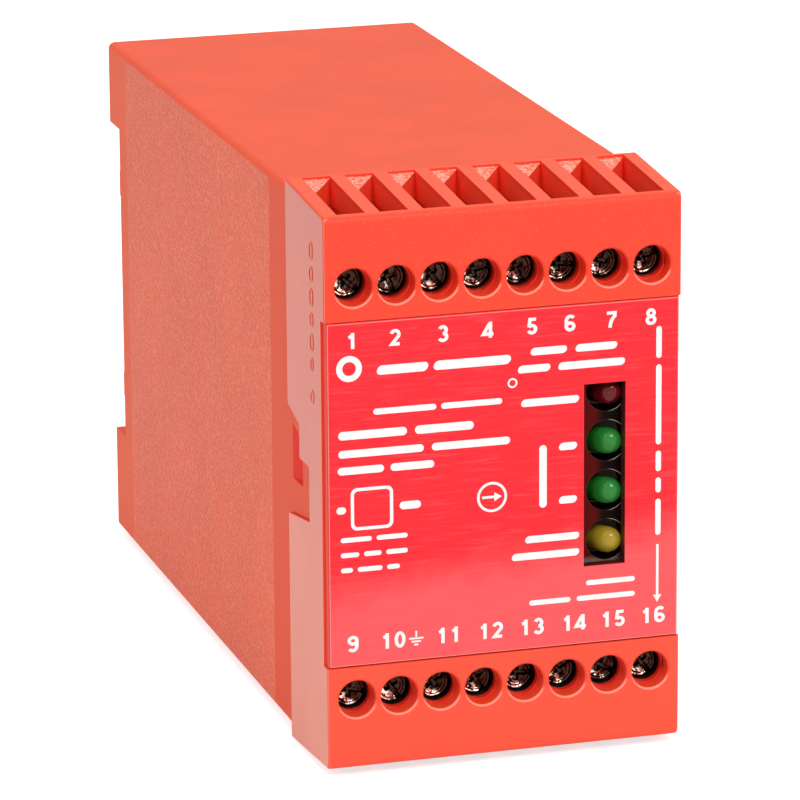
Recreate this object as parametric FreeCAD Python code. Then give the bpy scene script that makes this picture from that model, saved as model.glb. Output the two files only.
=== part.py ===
import FreeCAD, Part
import math
import os

Vec = FreeCAD.Vector

# Safety relay for a 35 mm top-hat rail. Millimetres, +Z up, front faces -Y.
# The model is laid out with Y = 0 on the cover's front face and Y growing towards the rail.
# Each node is moved half the depth forward as it is written, so the origin is the centre of the base.

# Overall sizes
cover_width = 45.0
overall_depth = 109.7
cover_height = 71.45         # at the cover's rear edge, its tallest place
cover_depth = 16.85
cover_draft = 1.24           # fall of the top and bottom faces from rear to front
cheek_proud = 0.44           # how far the cover's cheeks stand outside the housing
cover_step_low = 1.0         # how far the cover's rear edge drops below the housing
cover_step_high = 1.35       # and how far it rises above it

# Walls and running gaps
housing_wall = 1.6
ear_wall = 1.0
cheek_wall = 1.3
cover_front_wall = 2.0
cover_top_wall = 2.4
seat_gap = 0.1               # between pieces that locate in each other
slide_gap = 0.2              # between pieces that slide
board_gap = 0.3              # a board's edge to its guide

# Cover openings
terminal_count = 8
row_margin = 1.04            # from the cover's side to the first terminal's share of the width
row_inset = 10.0             # screw rows from the cover's top and bottom
wire_slot_width = 3.55
wire_slot_front = 1.05
wire_slot_rear_rim = 0.55
wire_slot_notch = 5.0        # how far the slots run down behind the front wall
lead_in_length = 4.7         # sloping ledge in the rear corner of a wire slot
lead_in_drop = 0.3
plate_zone_inset = 14.1      # front plate zone from the cover's top and bottom
cheek_setback = 1.65

# Front plate and label
plate_inset = 0.25
plate_gap = 0.12
plate_skirt_wall = 1.2
plate_skirt_depth = 6.0
label_thickness = 0.15
label_margin = 0.12
window_left = 10.1
window_right = 15.4
window_bottom = 24.1
window_top = 47.15

# Status lights
led_x = 13.95
led_top_z = 45.35
led_pitch = 6.3
led_count = 4
led_radius = 1.5
led_tip = 1.1                # tip behind the front face
led_length = 5.2
led_seat_radius = 2.6
led_holder_rim = 2.9         # front rim of the holder behind the front face

# Terminal screws and clamp cages
screw_head_radius = 1.95
screw_head_height = 1.5
screw_head_front = 3.75      # head's face behind the front face
screw_slot_width = 0.64
screw_slot_depth = 0.8
screw_thread_radius = 1.45
screw_pitch = 0.5
clamp_turns = 5              # screw turns from open to closed
access_hole_gap = 0.4
head_bore_gap = 0.2
clamp_front_wall = 1.5
clamp_rear_wall = 0.8
clamp_side_wall = 0.55
clamp_width = 4.2
clamp_height = 5.0
strip_width = 2.8
strip_thickness = 1.0
block_shoulder = 0.8         # wall that the screw head seats on
block_wall = 1.0
block_floor = 1.3

# Circuit boards
board_thickness = 1.6
front_board_gap = 1.15       # front board behind the cover's rear edge
side_board_margin = 1.26     # side boards' outer faces to the housing's walls
side_board_start = 1.3       # side boards behind the front board, clear of its soldered tails
pin_size = 0.8
pin_gap = 0.1
pin_tail = 0.9

# Relays, transformer and small parts
relay_length = 50.0
relay_height = 13.0
relay_standoff = 15.6
relay_inset = 3.4            # from the housing's inner top and bottom
relay_start = 27.5           # front ends behind the front face
core_limb = 5.4              # a shell core is 6 limbs wide and 5 limbs high
core_stack = 12.0
core_centre_depth = 76.0
core_off_board = 10.2
winding_build = 4.0
bobbin_flange = 1.2
capacitor_radius = 6.25
capacitor_length = 20.0
capacitor_depth = 36.0
varistor_radius = 5.0
varistor_thickness = 4.2
varistor_depth = 49.5
varistor_lift = 2.0

# Rail mounting
rail_height = 35.0
rail_flange = 1.0
rail_gap = 0.3
rail_lap = 1.2
rail_recess = 5.7            # depth of the recess the rail lies in
rail_land_proud = 0.3        # lands that the rail's two flanges bear on
rail_land_height = 3.4
rail_flange_width = 5.0
ear_height = 11.06
foot_height = 14.44
hook_width = 8.0
hook_offset = 10.0
latch_travel = 3.0
latch_width = 14.0
latch_thickness = 4.2
latch_guide = 1.2
latch_retainer = 1.0
spring_peg_z = 6.3
spring_peg_height = 1.5
spring_slack = 0.44          # left in the spring when the latch is fully down
spring_radius = 1.75
spring_wire = 0.42
spring_turns = 4

# Worked out from the sizes above
clamp_travel = clamp_turns * screw_pitch
spring_length = latch_travel + 2 * spring_turns * spring_wire + spring_slack
mid_z = cover_height / 2
half_cover = cover_width / 2
half_body = half_cover - cheek_proud
inner_cheek = half_cover - cheek_wall
body_low = cover_step_low
body_high = cover_height - cover_step_high
inner_low = body_low + housing_wall
inner_high = body_high - housing_wall
inner_side = half_body - housing_wall
rear_wall = overall_depth - rail_recess
rail_face = rear_wall + rail_land_proud
inner_rear = rear_wall - housing_wall
ear_underside_z = body_high - ear_height
foot_top_z = body_low + foot_height
rail_mid_z = (ear_underside_z + foot_top_z) / 2
terminal_pitch = (cover_width - 2 * row_margin) / terminal_count
terminal_xs = [(i - (terminal_count - 1) / 2) * terminal_pitch for i in range(terminal_count)]
row_z = cover_height - row_inset
front_board_y = cover_depth + front_board_gap
side_board_x = inner_side - side_board_margin - board_thickness
side_board_y = front_board_y + board_thickness + side_board_start
side_board_rear = inner_rear - 4.0
board_low = inner_low + board_gap
board_high = inner_high - board_gap
cavity_high = cover_height - cover_draft - cover_top_wall
head_seat = screw_head_front + screw_head_height + 0.05
chamber_front = head_seat + block_shoulder
clamp_closed_front = chamber_front + slide_gap
clamp_open_front = clamp_closed_front + clamp_travel
strip_front = clamp_open_front + clamp_front_wall + board_gap
strip_rear = strip_front + strip_thickness
clamp_inside = strip_rear + seat_gap - (clamp_closed_front + clamp_front_wall)
clamp_length = clamp_front_wall + clamp_inside + clamp_rear_wall
block_front = cover_front_wall + seat_gap
block_rear = max(cover_depth - wire_slot_rear_rim, clamp_open_front + clamp_length + slide_gap + block_wall)
chamber_rear = block_rear - block_wall
half_block = inner_cheek - slide_gap
block_high = cavity_high - seat_gap
clamp_low = row_z - clamp_height / 2
clamp_high = row_z + clamp_height / 2
block_low = clamp_low - slide_gap - block_floor
plate_rear = cheek_setback - 0.05
plate_low = plate_zone_inset + plate_gap
plate_high = cover_height - plate_zone_inset - plate_gap
half_plate = half_cover - plate_inset


def box(x0, x1, y0, y1, z0, z1):
    return Part.makeBox(x1 - x0, y1 - y0, z1 - z0, Vec(x0, y0, z0))


def rod_y(x, z, radius, y0, y1):
    return Part.makeCylinder(radius, y1 - y0, Vec(x, y0, z), Vec(0, 1, 0))


def rod_x(y, z, radius, x0, x1):
    return Part.makeCylinder(radius, x1 - x0, Vec(x0, y, z), Vec(1, 0, 0))


def prism_x(points, x0, x1):
    """Side outline given as (y, z) points, run from x0 to x1."""
    corners = [Vec(x0, y, z) for y, z in points]
    face = Part.Face(Part.makePolygon(corners + corners[:1]))
    return face.extrude(Vec(x1 - x0, 0, 0))


def both_sides(shape):
    return [shape, shape.mirror(Vec(0, 0, 0), Vec(1, 0, 0))]


def lower_copy(shape):
    """The same piece for the lower row, mirrored about the cover's middle height."""
    return shape.mirror(Vec(0, 0, mid_z), Vec(0, 0, 1))


def top_z(y):
    """Height of the cover's sloping top face at depth y."""
    return cover_height - cover_draft * (1 - y / cover_depth)


def edges_where(shape, test):
    return [e for e in shape.Edges if test(e.BoundBox)]


def round_edges(shape, radius, test):
    chosen = edges_where(shape, test)
    return shape.makeFillet(radius, chosen) if chosen else shape


def wire_slot(x):
    """Cutter for one wire slot: the pit, with its rear corner left as a sloping ledge."""
    x0 = x - wire_slot_width / 2
    x1 = x + wire_slot_width / 2
    rear = cover_depth - wire_slot_rear_rim
    deep = cover_height - cover_draft - wire_slot_notch
    high = cover_height + 1
    ledge_y = rear - lead_in_length
    bulge = ((x0 + x1) / 2 - 0.2, (rear + ledge_y) / 2 - 0.35)
    outline = [(x0, wire_slot_front), (x1, wire_slot_front), (x1, rear), bulge, (x0, ledge_y)]
    corners = [Vec(x, y, deep) for x, y in outline]
    pit = Part.Face(Part.makePolygon(corners + corners[:1])).extrude(Vec(0, 0, high - deep))
    ledge_low = top_z(ledge_y) - 3 * lead_in_drop
    ledge = prism_x([(rear, high), (rear, top_z(rear) - lead_in_drop), (ledge_y, ledge_low), (ledge_y, high)], x0, x1)
    return pit.fuse(ledge)


def catch_outline(gap):
    """Notch in a cheek's rear edge where the housing's side tongue shows, shrunk by gap."""
    rear = cover_depth + 0.5
    return [
        (rear, mid_z + 7.5 - gap), (cover_depth, mid_z + 7.5 - gap), (11.7 + gap, mid_z + 6.15 - gap),
        (11.7 + gap, mid_z + 1.9 - gap), (7.4 + gap, mid_z + 1.9 - gap), (7.4 + gap, mid_z - 5.1 + gap),
        (cover_depth, mid_z - 6.5 + gap), (rear, mid_z - 6.5 + gap),
    ]


def terminal_cover():
    side = [(0, cover_draft), (0, cover_height - cover_draft), (cover_depth, cover_height), (cover_depth, 0)]
    shell = prism_x(side, -half_cover, half_cover)
    shell = round_edges(shell, 0.9, lambda b: b.YMax < 0.01 and b.ZLength < 0.01)
    shell = round_edges(shell, 0.35, lambda b: b.XLength < 0.5 and b.YMax < 0.5 and b.ZLength > 10)
    cuts = [
        box(-inner_cheek, inner_cheek, cover_front_wall, cover_depth + 1, cover_height - cavity_high, cavity_high),
        box(-inner_cheek, inner_cheek, -1, cover_front_wall + 1, plate_zone_inset, cover_height - plate_zone_inset),
        box(-half_cover - 1, half_cover + 1, -1, cheek_setback, plate_zone_inset, cover_height - plate_zone_inset),
    ]
    cuts += both_sides(prism_x(catch_outline(0), inner_cheek - 0.5, half_cover + 1))
    hole = screw_head_radius + access_hole_gap
    for x in terminal_xs:
        upper = [
            rod_y(x, row_z, hole, -1, cover_front_wall + 1),
            Part.makeCone(hole + 0.22, hole, 0.22, Vec(x, 0, row_z), Vec(0, 1, 0)),
            wire_slot(x),
        ]
        cuts += upper + [lower_copy(c) for c in upper]
    return shell.cut(cuts)


def front_plate():
    face = box(-half_plate, half_plate, label_thickness, plate_rear, plate_low, plate_high)
    face = round_edges(face, 0.1, lambda b: b.YMax < label_thickness + 0.01)
    half_skirt = inner_cheek - seat_gap
    skirt = box(-half_skirt, half_skirt, plate_rear - 0.5, plate_skirt_depth, plate_low, plate_high)
    hollow = box(-half_skirt + plate_skirt_wall, half_skirt - plate_skirt_wall, plate_rear, plate_skirt_depth + 1,
                 plate_low + plate_skirt_wall, plate_high - plate_skirt_wall)
    window = box(window_left, window_right, -1, plate_rear + 1, window_bottom, window_top)
    return face.fuse(skirt).cut([hollow, window])


def front_label():
    half = half_plate - label_margin
    film = box(-half, half, 0, label_thickness, plate_low + label_margin, plate_high - label_margin)
    window = box(window_left, window_right, -1, 1, window_bottom, window_top)
    return film.cut(window)


def led_places():
    return [led_top_z - i * led_pitch for i in range(led_count)]


def status_led(z):
    """Domed 3 mm lamp with two leads that reach the front board."""
    dome_centre = led_tip + led_radius
    base = led_tip + led_length
    dome = Part.makeSphere(led_radius, Vec(led_x, dome_centre, z))
    barrel = rod_y(led_x, z, led_radius, dome_centre, base)
    lead_end = front_board_y + board_thickness + pin_tail
    leads = [box(led_x + s - 0.25, led_x + s + 0.25, base - 0.3, lead_end, z - 0.25, z + 0.25) for s in (-0.9, 0.9)]
    return dome.fuse([barrel] + leads)


def led_holder():
    """Tower that holds the lamps at the window, with a scalloped seat round each lamp."""
    low = led_places()[-1] - led_pitch / 2
    high = led_top_z + led_pitch / 2 - 0.3
    side = led_seat_radius + 0.5
    base = led_tip + led_length + 0.05
    tower = box(led_x - side, led_x + side, led_holder_rim, front_board_y - 0.05, low, high)
    cuts = []
    for z in led_places():
        cuts.append(rod_y(led_x, z, led_seat_radius, led_holder_rim - 1, base))
        cuts.append(box(led_x - 1.3, led_x + 1.3, base - 1, front_board_y + 1, z - 0.4, z + 0.4))
    return tower.cut(cuts)


def clamp_block():
    """Insulating block of one row: a bore, a clamp chamber and a wire funnel for each terminal."""
    block = box(-half_block, half_block, block_front, block_rear, block_low, block_high)
    cuts = []
    half_chamber = clamp_width / 2 + slide_gap
    half_shank = screw_thread_radius + 0.15
    half_funnel = wire_slot_width / 2 + seat_gap
    funnel = [
        (wire_slot_front + 2.4, block_high + 1), (wire_slot_front + 2.4, block_high), (strip_front, clamp_high),
        (chamber_rear, clamp_high), (chamber_rear + block_wall / 2, block_high),
        (chamber_rear + block_wall / 2, block_high + 1),
    ]
    for x in terminal_xs:
        cuts += [
            rod_y(x, row_z, screw_head_radius + head_bore_gap, block_front - 1, head_seat),
            box(x - half_shank, x + half_shank, head_seat - 0.5, chamber_front + 0.5, row_z - half_shank,
                row_z + half_shank),
            box(x - half_chamber, x + half_chamber, chamber_front, chamber_rear, clamp_low - slide_gap,
                clamp_high + slide_gap),
            prism_x(funnel, x - half_funnel, x + half_funnel),
            box(x - strip_width / 2 - seat_gap, x + strip_width / 2 + seat_gap, strip_front - seat_gap,
                strip_rear + seat_gap, block_low - 1, clamp_low),
        ]
    return block.cut(cuts)


def contact_strips():
    """Bent copper strips: a leg inside each cage and a tail soldered through the front board."""
    strips = []
    bend_low = block_low - 0.4 - strip_thickness
    tail_end = front_board_y + board_thickness + pin_tail
    outline = [
        (strip_front, clamp_high - 0.4), (strip_rear, clamp_high - 0.4), (strip_rear, bend_low + strip_thickness),
        (tail_end, bend_low + strip_thickness), (tail_end, bend_low), (strip_front, bend_low),
    ]
    for x in terminal_xs:
        strip = prism_x(outline, x - strip_width / 2, x + strip_width / 2)
        narrow = box(x - strip_width, x - 0.6, cover_depth - 0.3, tail_end + 1, bend_low - 1, bend_low + 2)
        strips.append(strip.cut([narrow, narrow.mirror(Vec(x, 0, 0), Vec(1, 0, 0))]))
    return Part.makeCompound(strips)


def terminal_screw(x):
    """Captive slotted screw; the thread is left as its outer cylinder."""
    head = rod_y(x, row_z, screw_head_radius, screw_head_front, screw_head_front + screw_head_height)
    shank = rod_y(x, row_z, screw_thread_radius, screw_head_front + screw_head_height - 0.1, strip_front - 0.08)
    slot = box(x - screw_head_radius - 1, x + screw_head_radius + 1, screw_head_front - 1,
               screw_head_front + screw_slot_depth, row_z - screw_slot_width / 2, row_z + screw_slot_width / 2)
    return head.fuse(shank).cut(slot)


def clamp_cage(x):
    """Rectangular loop with a threaded front wall; it is drawn forward as the screw turns."""
    half = clamp_width / 2
    rear = clamp_open_front + clamp_length
    loop = box(x - half, x + half, clamp_open_front, rear, clamp_low, clamp_high)
    inside = box(x - half + clamp_side_wall, x + half - clamp_side_wall, clamp_open_front + clamp_front_wall,
                 rear - clamp_rear_wall, clamp_low - 1, clamp_high + 1)
    thread = rod_y(x, row_z, screw_thread_radius + 0.05, clamp_open_front - 1, clamp_open_front + clamp_front_wall + 1)
    return loop.cut([inside, thread])


def relay_pins(z_mid):
    """Pins of one sealed relay as (y, z) places on its board."""
    rows = (z_mid - 3.8, z_mid + 3.8)
    start = relay_start + 4.0
    steps = [start, start + 6.0, start + 16.0, start + 27.0, start + 38.0]
    return [(y, z) for y in steps for z in rows]


def relay_mids():
    return (inner_high - relay_inset - relay_height / 2, inner_low + relay_inset + relay_height / 2)


def pins_from(places, x0, x1):
    half = pin_size / 2
    return [box(min(x0, x1), max(x0, x1), y - half, y + half, z - half, z + half) for y, z in places]


def sealed_relay(z_mid):
    """Forced-guided relay: potted base, moulded case and two rows of pins through the board."""
    low = z_mid - relay_height / 2
    high = z_mid + relay_height / 2
    front = relay_start
    rear = relay_start + relay_length
    case = box(-side_board_x + 1.2, -side_board_x + relay_standoff, front, rear, low, high)
    case = round_edges(case, 0.6, lambda b: b.XMin > -side_board_x + relay_standoff - 0.01)
    base = box(-side_board_x + 0.3, -side_board_x + 1.2, front + 0.4, rear - 0.4, low + 0.4, high - 0.4)
    pins = pins_from(relay_pins(z_mid), -side_board_x - board_thickness - pin_tail, -side_board_x + 0.4)
    return case.fuse([base] + pins)


def transformer_sizes():
    half_width = 3 * core_limb
    half_height = 2.5 * core_limb
    x_mid = side_board_x - core_off_board
    return half_width, half_height, x_mid


def transformer_pins():
    flange_z = 1.5 * core_limb - bobbin_flange / 2
    places = []
    for z in (mid_z - flange_z, mid_z + flange_z):
        places += [(core_centre_depth + dy, z) for dy in (-7.5, -2.5, 2.5, 7.5)]
    return places


def transformer_core():
    half_width, half_height, x_mid = transformer_sizes()
    x0 = x_mid - core_stack / 2
    x1 = x_mid + core_stack / 2
    y = core_centre_depth
    core = box(x0, x1, y - half_width, y + half_width, mid_z - half_height, mid_z + half_height)
    window_z = 1.5 * core_limb
    cuts = [box(x0 - 1, x1 + 1, y + a, y + a + core_limb, mid_z - window_z, mid_z + window_z)
            for a in (core_limb, -2 * core_limb)]
    return core.cut(cuts)


def transformer_bobbin():
    half_width, half_height, x_mid = transformer_sizes()
    y = core_centre_depth
    reach_y = 2 * core_limb - slide_gap
    reach_x = core_stack / 2 + winding_build
    window_z = 1.5 * core_limb - 0.05
    limb = (core_stack / 2 + 0.1, core_limb + 0.1)
    tube = box(x_mid - limb[0] - 0.8, x_mid + limb[0] + 0.8, y - limb[1] - 0.8, y + limb[1] + 0.8,
               mid_z - window_z, mid_z + window_z)
    flanges = [box(x_mid - reach_x, side_board_x - 0.05, y - reach_y, y + reach_y, z, z + bobbin_flange)
               for z in (mid_z - window_z, mid_z + window_z - bobbin_flange)]
    bore = box(x_mid - limb[0], x_mid + limb[0], y - limb[1], y + limb[1], mid_z - 40, mid_z + 40)
    pins = pins_from(transformer_pins(), side_board_x - 0.4, side_board_x + board_thickness + pin_tail)
    return tube.fuse(flanges).cut(bore).fuse(pins)


def transformer_winding():
    half_width, half_height, x_mid = transformer_sizes()
    y = core_centre_depth
    window_z = 1.5 * core_limb - 0.05 - bobbin_flange - 0.05
    inner = (core_stack / 2 + 0.95, core_limb + 0.95)
    outer = (core_stack / 2 + winding_build - 0.6, 2 * core_limb - 0.5)
    coil = box(x_mid - outer[0], x_mid + outer[0], y - outer[1], y + outer[1], mid_z - window_z, mid_z + window_z)
    coil = round_edges(coil, 2.0, lambda b: b.ZLength > 5)
    bore = box(x_mid - inner[0], x_mid + inner[0], y - inner[1], y + inner[1], mid_z - 40, mid_z + 40)
    return coil.cut(bore)


def capacitor_pins():
    return [(capacitor_depth, mid_z - 2.5), (capacitor_depth, mid_z + 2.5)]


def smoothing_capacitor():
    """Radial capacitor lying across the housing, its leads in the power board."""
    x1 = side_board_x - 0.3
    x0 = x1 - capacitor_length
    can = rod_x(capacitor_depth, mid_z, capacitor_radius, x0, x1)
    leads = pins_from(capacitor_pins(), x1 - 0.3, side_board_x + board_thickness + pin_tail)
    return can.fuse(leads)


def varistor_pins():
    return [(varistor_depth, mid_z - 2.5), (varistor_depth, mid_z + 2.5)]


def varistor_disc():
    x_mid = side_board_x - varistor_lift - varistor_radius
    half = varistor_thickness / 2
    disc = rod_y(x_mid, mid_z, varistor_radius, varistor_depth - half, varistor_depth + half)
    leads = pins_from(varistor_pins(), side_board_x - varistor_lift - 1.5, side_board_x + board_thickness + pin_tail)
    return disc.fuse(leads)


def drill_board(board, places, x0, x1):
    half = pin_size / 2 + pin_gap
    return board.cut([box(x0, x1, y - half, y + half, z - half, z + half) for y, z in places])


def connector_places():
    return [mid_z + dz for dz in (-26.0, -23.46, -20.92, 20.92, 23.46, 26.0)]


def relay_board():
    board = box(-side_board_x - board_thickness, -side_board_x, side_board_y, side_board_rear, board_low, board_high)
    places = [p for z in relay_mids() for p in relay_pins(z)]
    return drill_board(board, places, -side_board_x - board_thickness - 1, -side_board_x + 1)


def power_board():
    board = box(side_board_x, side_board_x + board_thickness, side_board_y, side_board_rear, board_low, board_high)
    places = transformer_pins() + capacitor_pins() + varistor_pins()
    return drill_board(board, places, side_board_x - 1, side_board_x + board_thickness + 1)


def front_board():
    half = inner_side - 0.9
    rear = front_board_y + board_thickness
    board = box(-half, half, front_board_y, rear, board_low, board_high)
    tail_z = block_low - 0.4 - strip_thickness / 2
    cuts = []
    for x in terminal_xs:
        hole = box(x - 0.7, x + 0.7, front_board_y - 1, rear + 1, tail_z - 0.6, tail_z + 0.6)
        cuts += [hole, lower_copy(hole)]
    for z in led_places():
        cuts += [box(led_x + s - 0.35, led_x + s + 0.35, front_board_y - 1, rear + 1, z - 0.35, z + 0.35)
                 for s in (-0.9, 0.9)]
    return board.cut(cuts)


def board_connectors():
    """Right-angle headers that join the front board to both side boards."""
    pieces = []
    x1 = side_board_x - 0.05
    y0 = front_board_y + board_thickness + 0.05
    for low, high in ((-27.3, -19.6), (19.6, 27.3)):
        header = box(x1 - 3.2, x1, y0, y0 + 5.0, mid_z + low, mid_z + high)
        pins = [box(x1 - 2.0, x1 - 1.4, y0 + 1, y0 + 6.5, z - 0.3, z + 0.3)
                for z in connector_places() if mid_z + low < z < mid_z + high]
        pieces += both_sides(header.fuse(pins))
    return Part.makeCompound(pieces)


def rail_hook(x):
    """Fixed hook: it reaches down behind the rail's upper edge."""
    rail_top = rail_mid_z + rail_height / 2
    behind = rail_face + rail_flange + rail_gap
    outline = [
        (rear_wall - 0.5, ear_underside_z + ear_wall / 2), (rear_wall - 0.5, rail_top + rail_gap),
        (behind, rail_top + rail_gap),
        (behind, rail_top - rail_lap), (behind + 1.6, rail_top - rail_lap),
        (overall_depth, rail_top + 2.3), (overall_depth, ear_underside_z + ear_wall / 2),
    ]
    return prism_x(outline, x - hook_width / 2, x + hook_width / 2)


def main_housing():
    outline = [
        (cover_depth, body_low), (overall_depth, body_low), (overall_depth, foot_top_z), (rear_wall, foot_top_z),
        (rear_wall, ear_underside_z), (overall_depth, ear_underside_z), (overall_depth, body_high),
        (cover_depth, body_high),
    ]
    shell = prism_x(outline, -half_body, half_body)
    long_edge = lambda b: b.YLength > 50 and (b.ZMax < body_low + 0.1 or b.ZMin > body_high - 0.1)
    shell = round_edges(shell, 0.9, long_edge)
    shell = round_edges(shell, 0.5, lambda b: b.YMin > rear_wall + 0.1 and b.YLength < 0.5 and b.XLength > 30)

    guide_x = latch_width / 2 + slide_gap
    ear_inside = half_body - ear_wall
    cavity = box(-inner_side, inner_side, cover_depth - 1, inner_rear, inner_low, inner_high)
    ear = box(-ear_inside, ear_inside, rear_wall, overall_depth + 1, ear_underside_z + ear_wall, inner_high)
    foot = box(-ear_inside, ear_inside, rear_wall, overall_depth + 1, inner_low, foot_top_z - ear_wall)
    shell = shell.cut([cavity, ear, foot])

    latch_rear = rail_face + slide_gap + latch_thickness + slide_gap
    guides = both_sides(box(guide_x, guide_x + latch_guide, rear_wall - 0.5, overall_depth, body_low, foot_top_z))
    guides += both_sides(box(guide_x - latch_retainer, guide_x + latch_guide, latch_rear, overall_depth, body_low,
                             foot_top_z))
    channel = box(-guide_x, guide_x, rear_wall, latch_rear, body_low - 1, foot_top_z + 1)
    mouth = box(-guide_x + latch_retainer, guide_x - latch_retainer, rear_wall, overall_depth + 1, body_low - 1,
                foot_top_z + 1)
    peg = box(-1.2, 1.2, rear_wall - 0.5, rail_face + 3.8, spring_peg_z, spring_peg_z + spring_peg_height)
    lands = [box(-half_body, half_body, rear_wall - 0.5, rail_face, z, z + rail_land_height)
             for z in (rail_mid_z - rail_height / 2 + rail_flange_width - rail_land_height,
                       rail_mid_z + rail_height / 2 - rail_flange_width)]
    hooks = both_sides(rail_hook(hook_offset))
    ribs = []
    for x in (hook_offset - hook_width / 2, hook_offset + hook_width / 2 - ear_wall):
        ribs += both_sides(box(x, x + ear_wall, rear_wall - 0.5, overall_depth - 0.6, ear_underside_z + ear_wall / 2,
                               inner_high + 0.5))
    shell = shell.fuse(guides).cut([channel, mouth]).fuse([peg] + lands + hooks + ribs)

    guide_ribs = []
    for x in (side_board_x - seat_gap - 0.9, side_board_x + board_thickness + seat_gap):
        wide = min(0.9, inner_side - side_board_x - board_thickness - seat_gap)
        for z0, z1 in ((inner_low - 0.4, inner_low + 1.6), (inner_high - 1.6, inner_high + 0.4)):
            guide_ribs += both_sides(box(x, x + wide, side_board_y, inner_rear + 0.4, z0, z1))
    return shell.fuse(guide_ribs + side_catches())


def side_catches():
    """Tabs that run forward under the cover's cheeks, with the tongue that fills the cheek's notch."""
    tab_x1 = inner_cheek - seat_gap
    tab_x0 = tab_x1 - cheek_wall
    tab = box(tab_x0, tab_x1, plate_skirt_depth + 0.6, front_board_y + 2.4, mid_z - 8.0, mid_z + 9.0)
    pad = prism_x(catch_outline(seat_gap), tab_x1 - 0.2, half_body)
    return both_sides(tab.fuse(pad).cut(driver_pocket()))


def driver_pocket():
    """Screwdriver pocket in the tongue: its floor ramps in from the rear and from the top to a deep front corner."""
    high = mid_z + 5.2
    low = mid_z - 1.9
    front = 11.7 + seat_gap
    rear = cover_depth - 0.6
    deep = half_body - 0.9
    outer = half_body + 0.5
    side = [Vec(x, front, z) for x, z in
            ((outer, high), (half_body, high), (deep, high - 3.2), (deep, low), (outer, low))]
    plan = [Vec(x, y, low) for x, y in ((outer, front), (outer, rear), (half_body, rear), (deep, front))]
    from_top = Part.Face(Part.makePolygon(side + side[:1])).extrude(Vec(0, rear - front, 0))
    from_rear = Part.Face(Part.makePolygon(plan + plan[:1])).extrude(Vec(0, 0, high - low))
    return from_top.common(from_rear)


def rail_latch():
    """Sliding foot catch: the nose grips behind the rail's lower edge."""
    rail_low = rail_mid_z - rail_height / 2
    front = rail_face + slide_gap
    rear = front + latch_thickness
    behind = rail_face + rail_flange + rail_gap
    low = body_low + 0.2
    outline = [
        (front, low), (rear, low), (rear, rail_low - 0.8), (behind + 1.6, rail_low + rail_lap),
        (behind, rail_low + rail_lap), (behind, rail_low - rail_gap), (front, rail_low - rail_gap),
    ]
    plate = prism_x(outline, -latch_width / 2, latch_width / 2)
    window_high = spring_peg_z + spring_peg_height + spring_length + 0.1
    window = box(-2.4, 2.4, front - 1, rear + 1, spring_peg_z - 0.3, window_high)
    pull_slot = box(-3.2, 3.2, front - 1, rear + 1, low + 0.9, spring_peg_z - 1.9)
    return plate.cut([window, pull_slot])


def latch_spring():
    """Compression spring between the housing's peg and the top of the latch's window."""
    low = spring_peg_z + spring_peg_height + 0.05
    rise = spring_length - spring_wire
    mean = spring_radius - spring_wire / 2
    centre_y = rail_face + slide_gap + latch_thickness / 2
    helix = Part.makeHelix(rise / spring_turns, rise, mean)
    half = spring_wire / 2
    section = Part.makePolygon([Vec(mean - half, 0, -half), Vec(mean + half, 0, -half), Vec(mean + half, 0, half),
                                Vec(mean - half, 0, half), Vec(mean - half, 0, -half)])
    coil = Part.Wire(helix.Edges).makePipeShell([section], True, True)
    coil.translate(Vec(0, centre_y, low + half))
    return coil


def save(name, shape):
    placed = shape.copy()
    placed.translate(Vec(0, -overall_depth / 2, 0))
    bad = [s for s in placed.Solids if not s.isValid() or s.Volume <= 0]
    print(f"{name:22s} solids {len(placed.Solids)} volume {placed.Volume:9.1f} {'BAD' if bad else ''}")
    placed.exportStep(f"parts/{name}.step")


def main():
    os.makedirs("parts", exist_ok=True)
    save("main_housing", main_housing())
    save("terminal_cover", terminal_cover())
    save("front_plate", front_plate())
    save("front_label", front_label())
    save("led_holder", led_holder())
    for number, z in enumerate(led_places(), 1):
        save(f"status_led_{number}", status_led(z))
    save("front_board", front_board())
    save("relay_board", relay_board())
    save("power_board", power_board())
    save("board_connectors", board_connectors())
    for name, z in zip(("safety_relay_1", "safety_relay_2"), relay_mids()):
        save(name, sealed_relay(z))
    save("transformer_core", transformer_core())
    save("transformer_bobbin", transformer_bobbin())
    save("transformer_winding", transformer_winding())
    save("smoothing_capacitor", smoothing_capacitor())
    save("varistor_disc", varistor_disc())
    block = clamp_block()
    strips = contact_strips()
    save("upper_terminal_block", block)
    save("lower_terminal_block", lower_copy(block))
    save("upper_contact_strips", strips)
    save("lower_contact_strips", lower_copy(strips))
    save("rail_latch", rail_latch())
    save("latch_spring", latch_spring())
    for number, x in enumerate(terminal_xs, 1):
        screw = terminal_screw(x)
        cage = clamp_cage(x)
        save(f"terminal_screw_{number:02d}", screw)
        save(f"terminal_screw_{number + terminal_count:02d}", lower_copy(screw))
        save(f"clamp_cage_{number:02d}", cage)
        save(f"clamp_cage_{number + terminal_count:02d}", lower_copy(cage))


main()
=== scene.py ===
import math

import bpy
import numpy as np
from mathutils import Matrix, Vector


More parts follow.
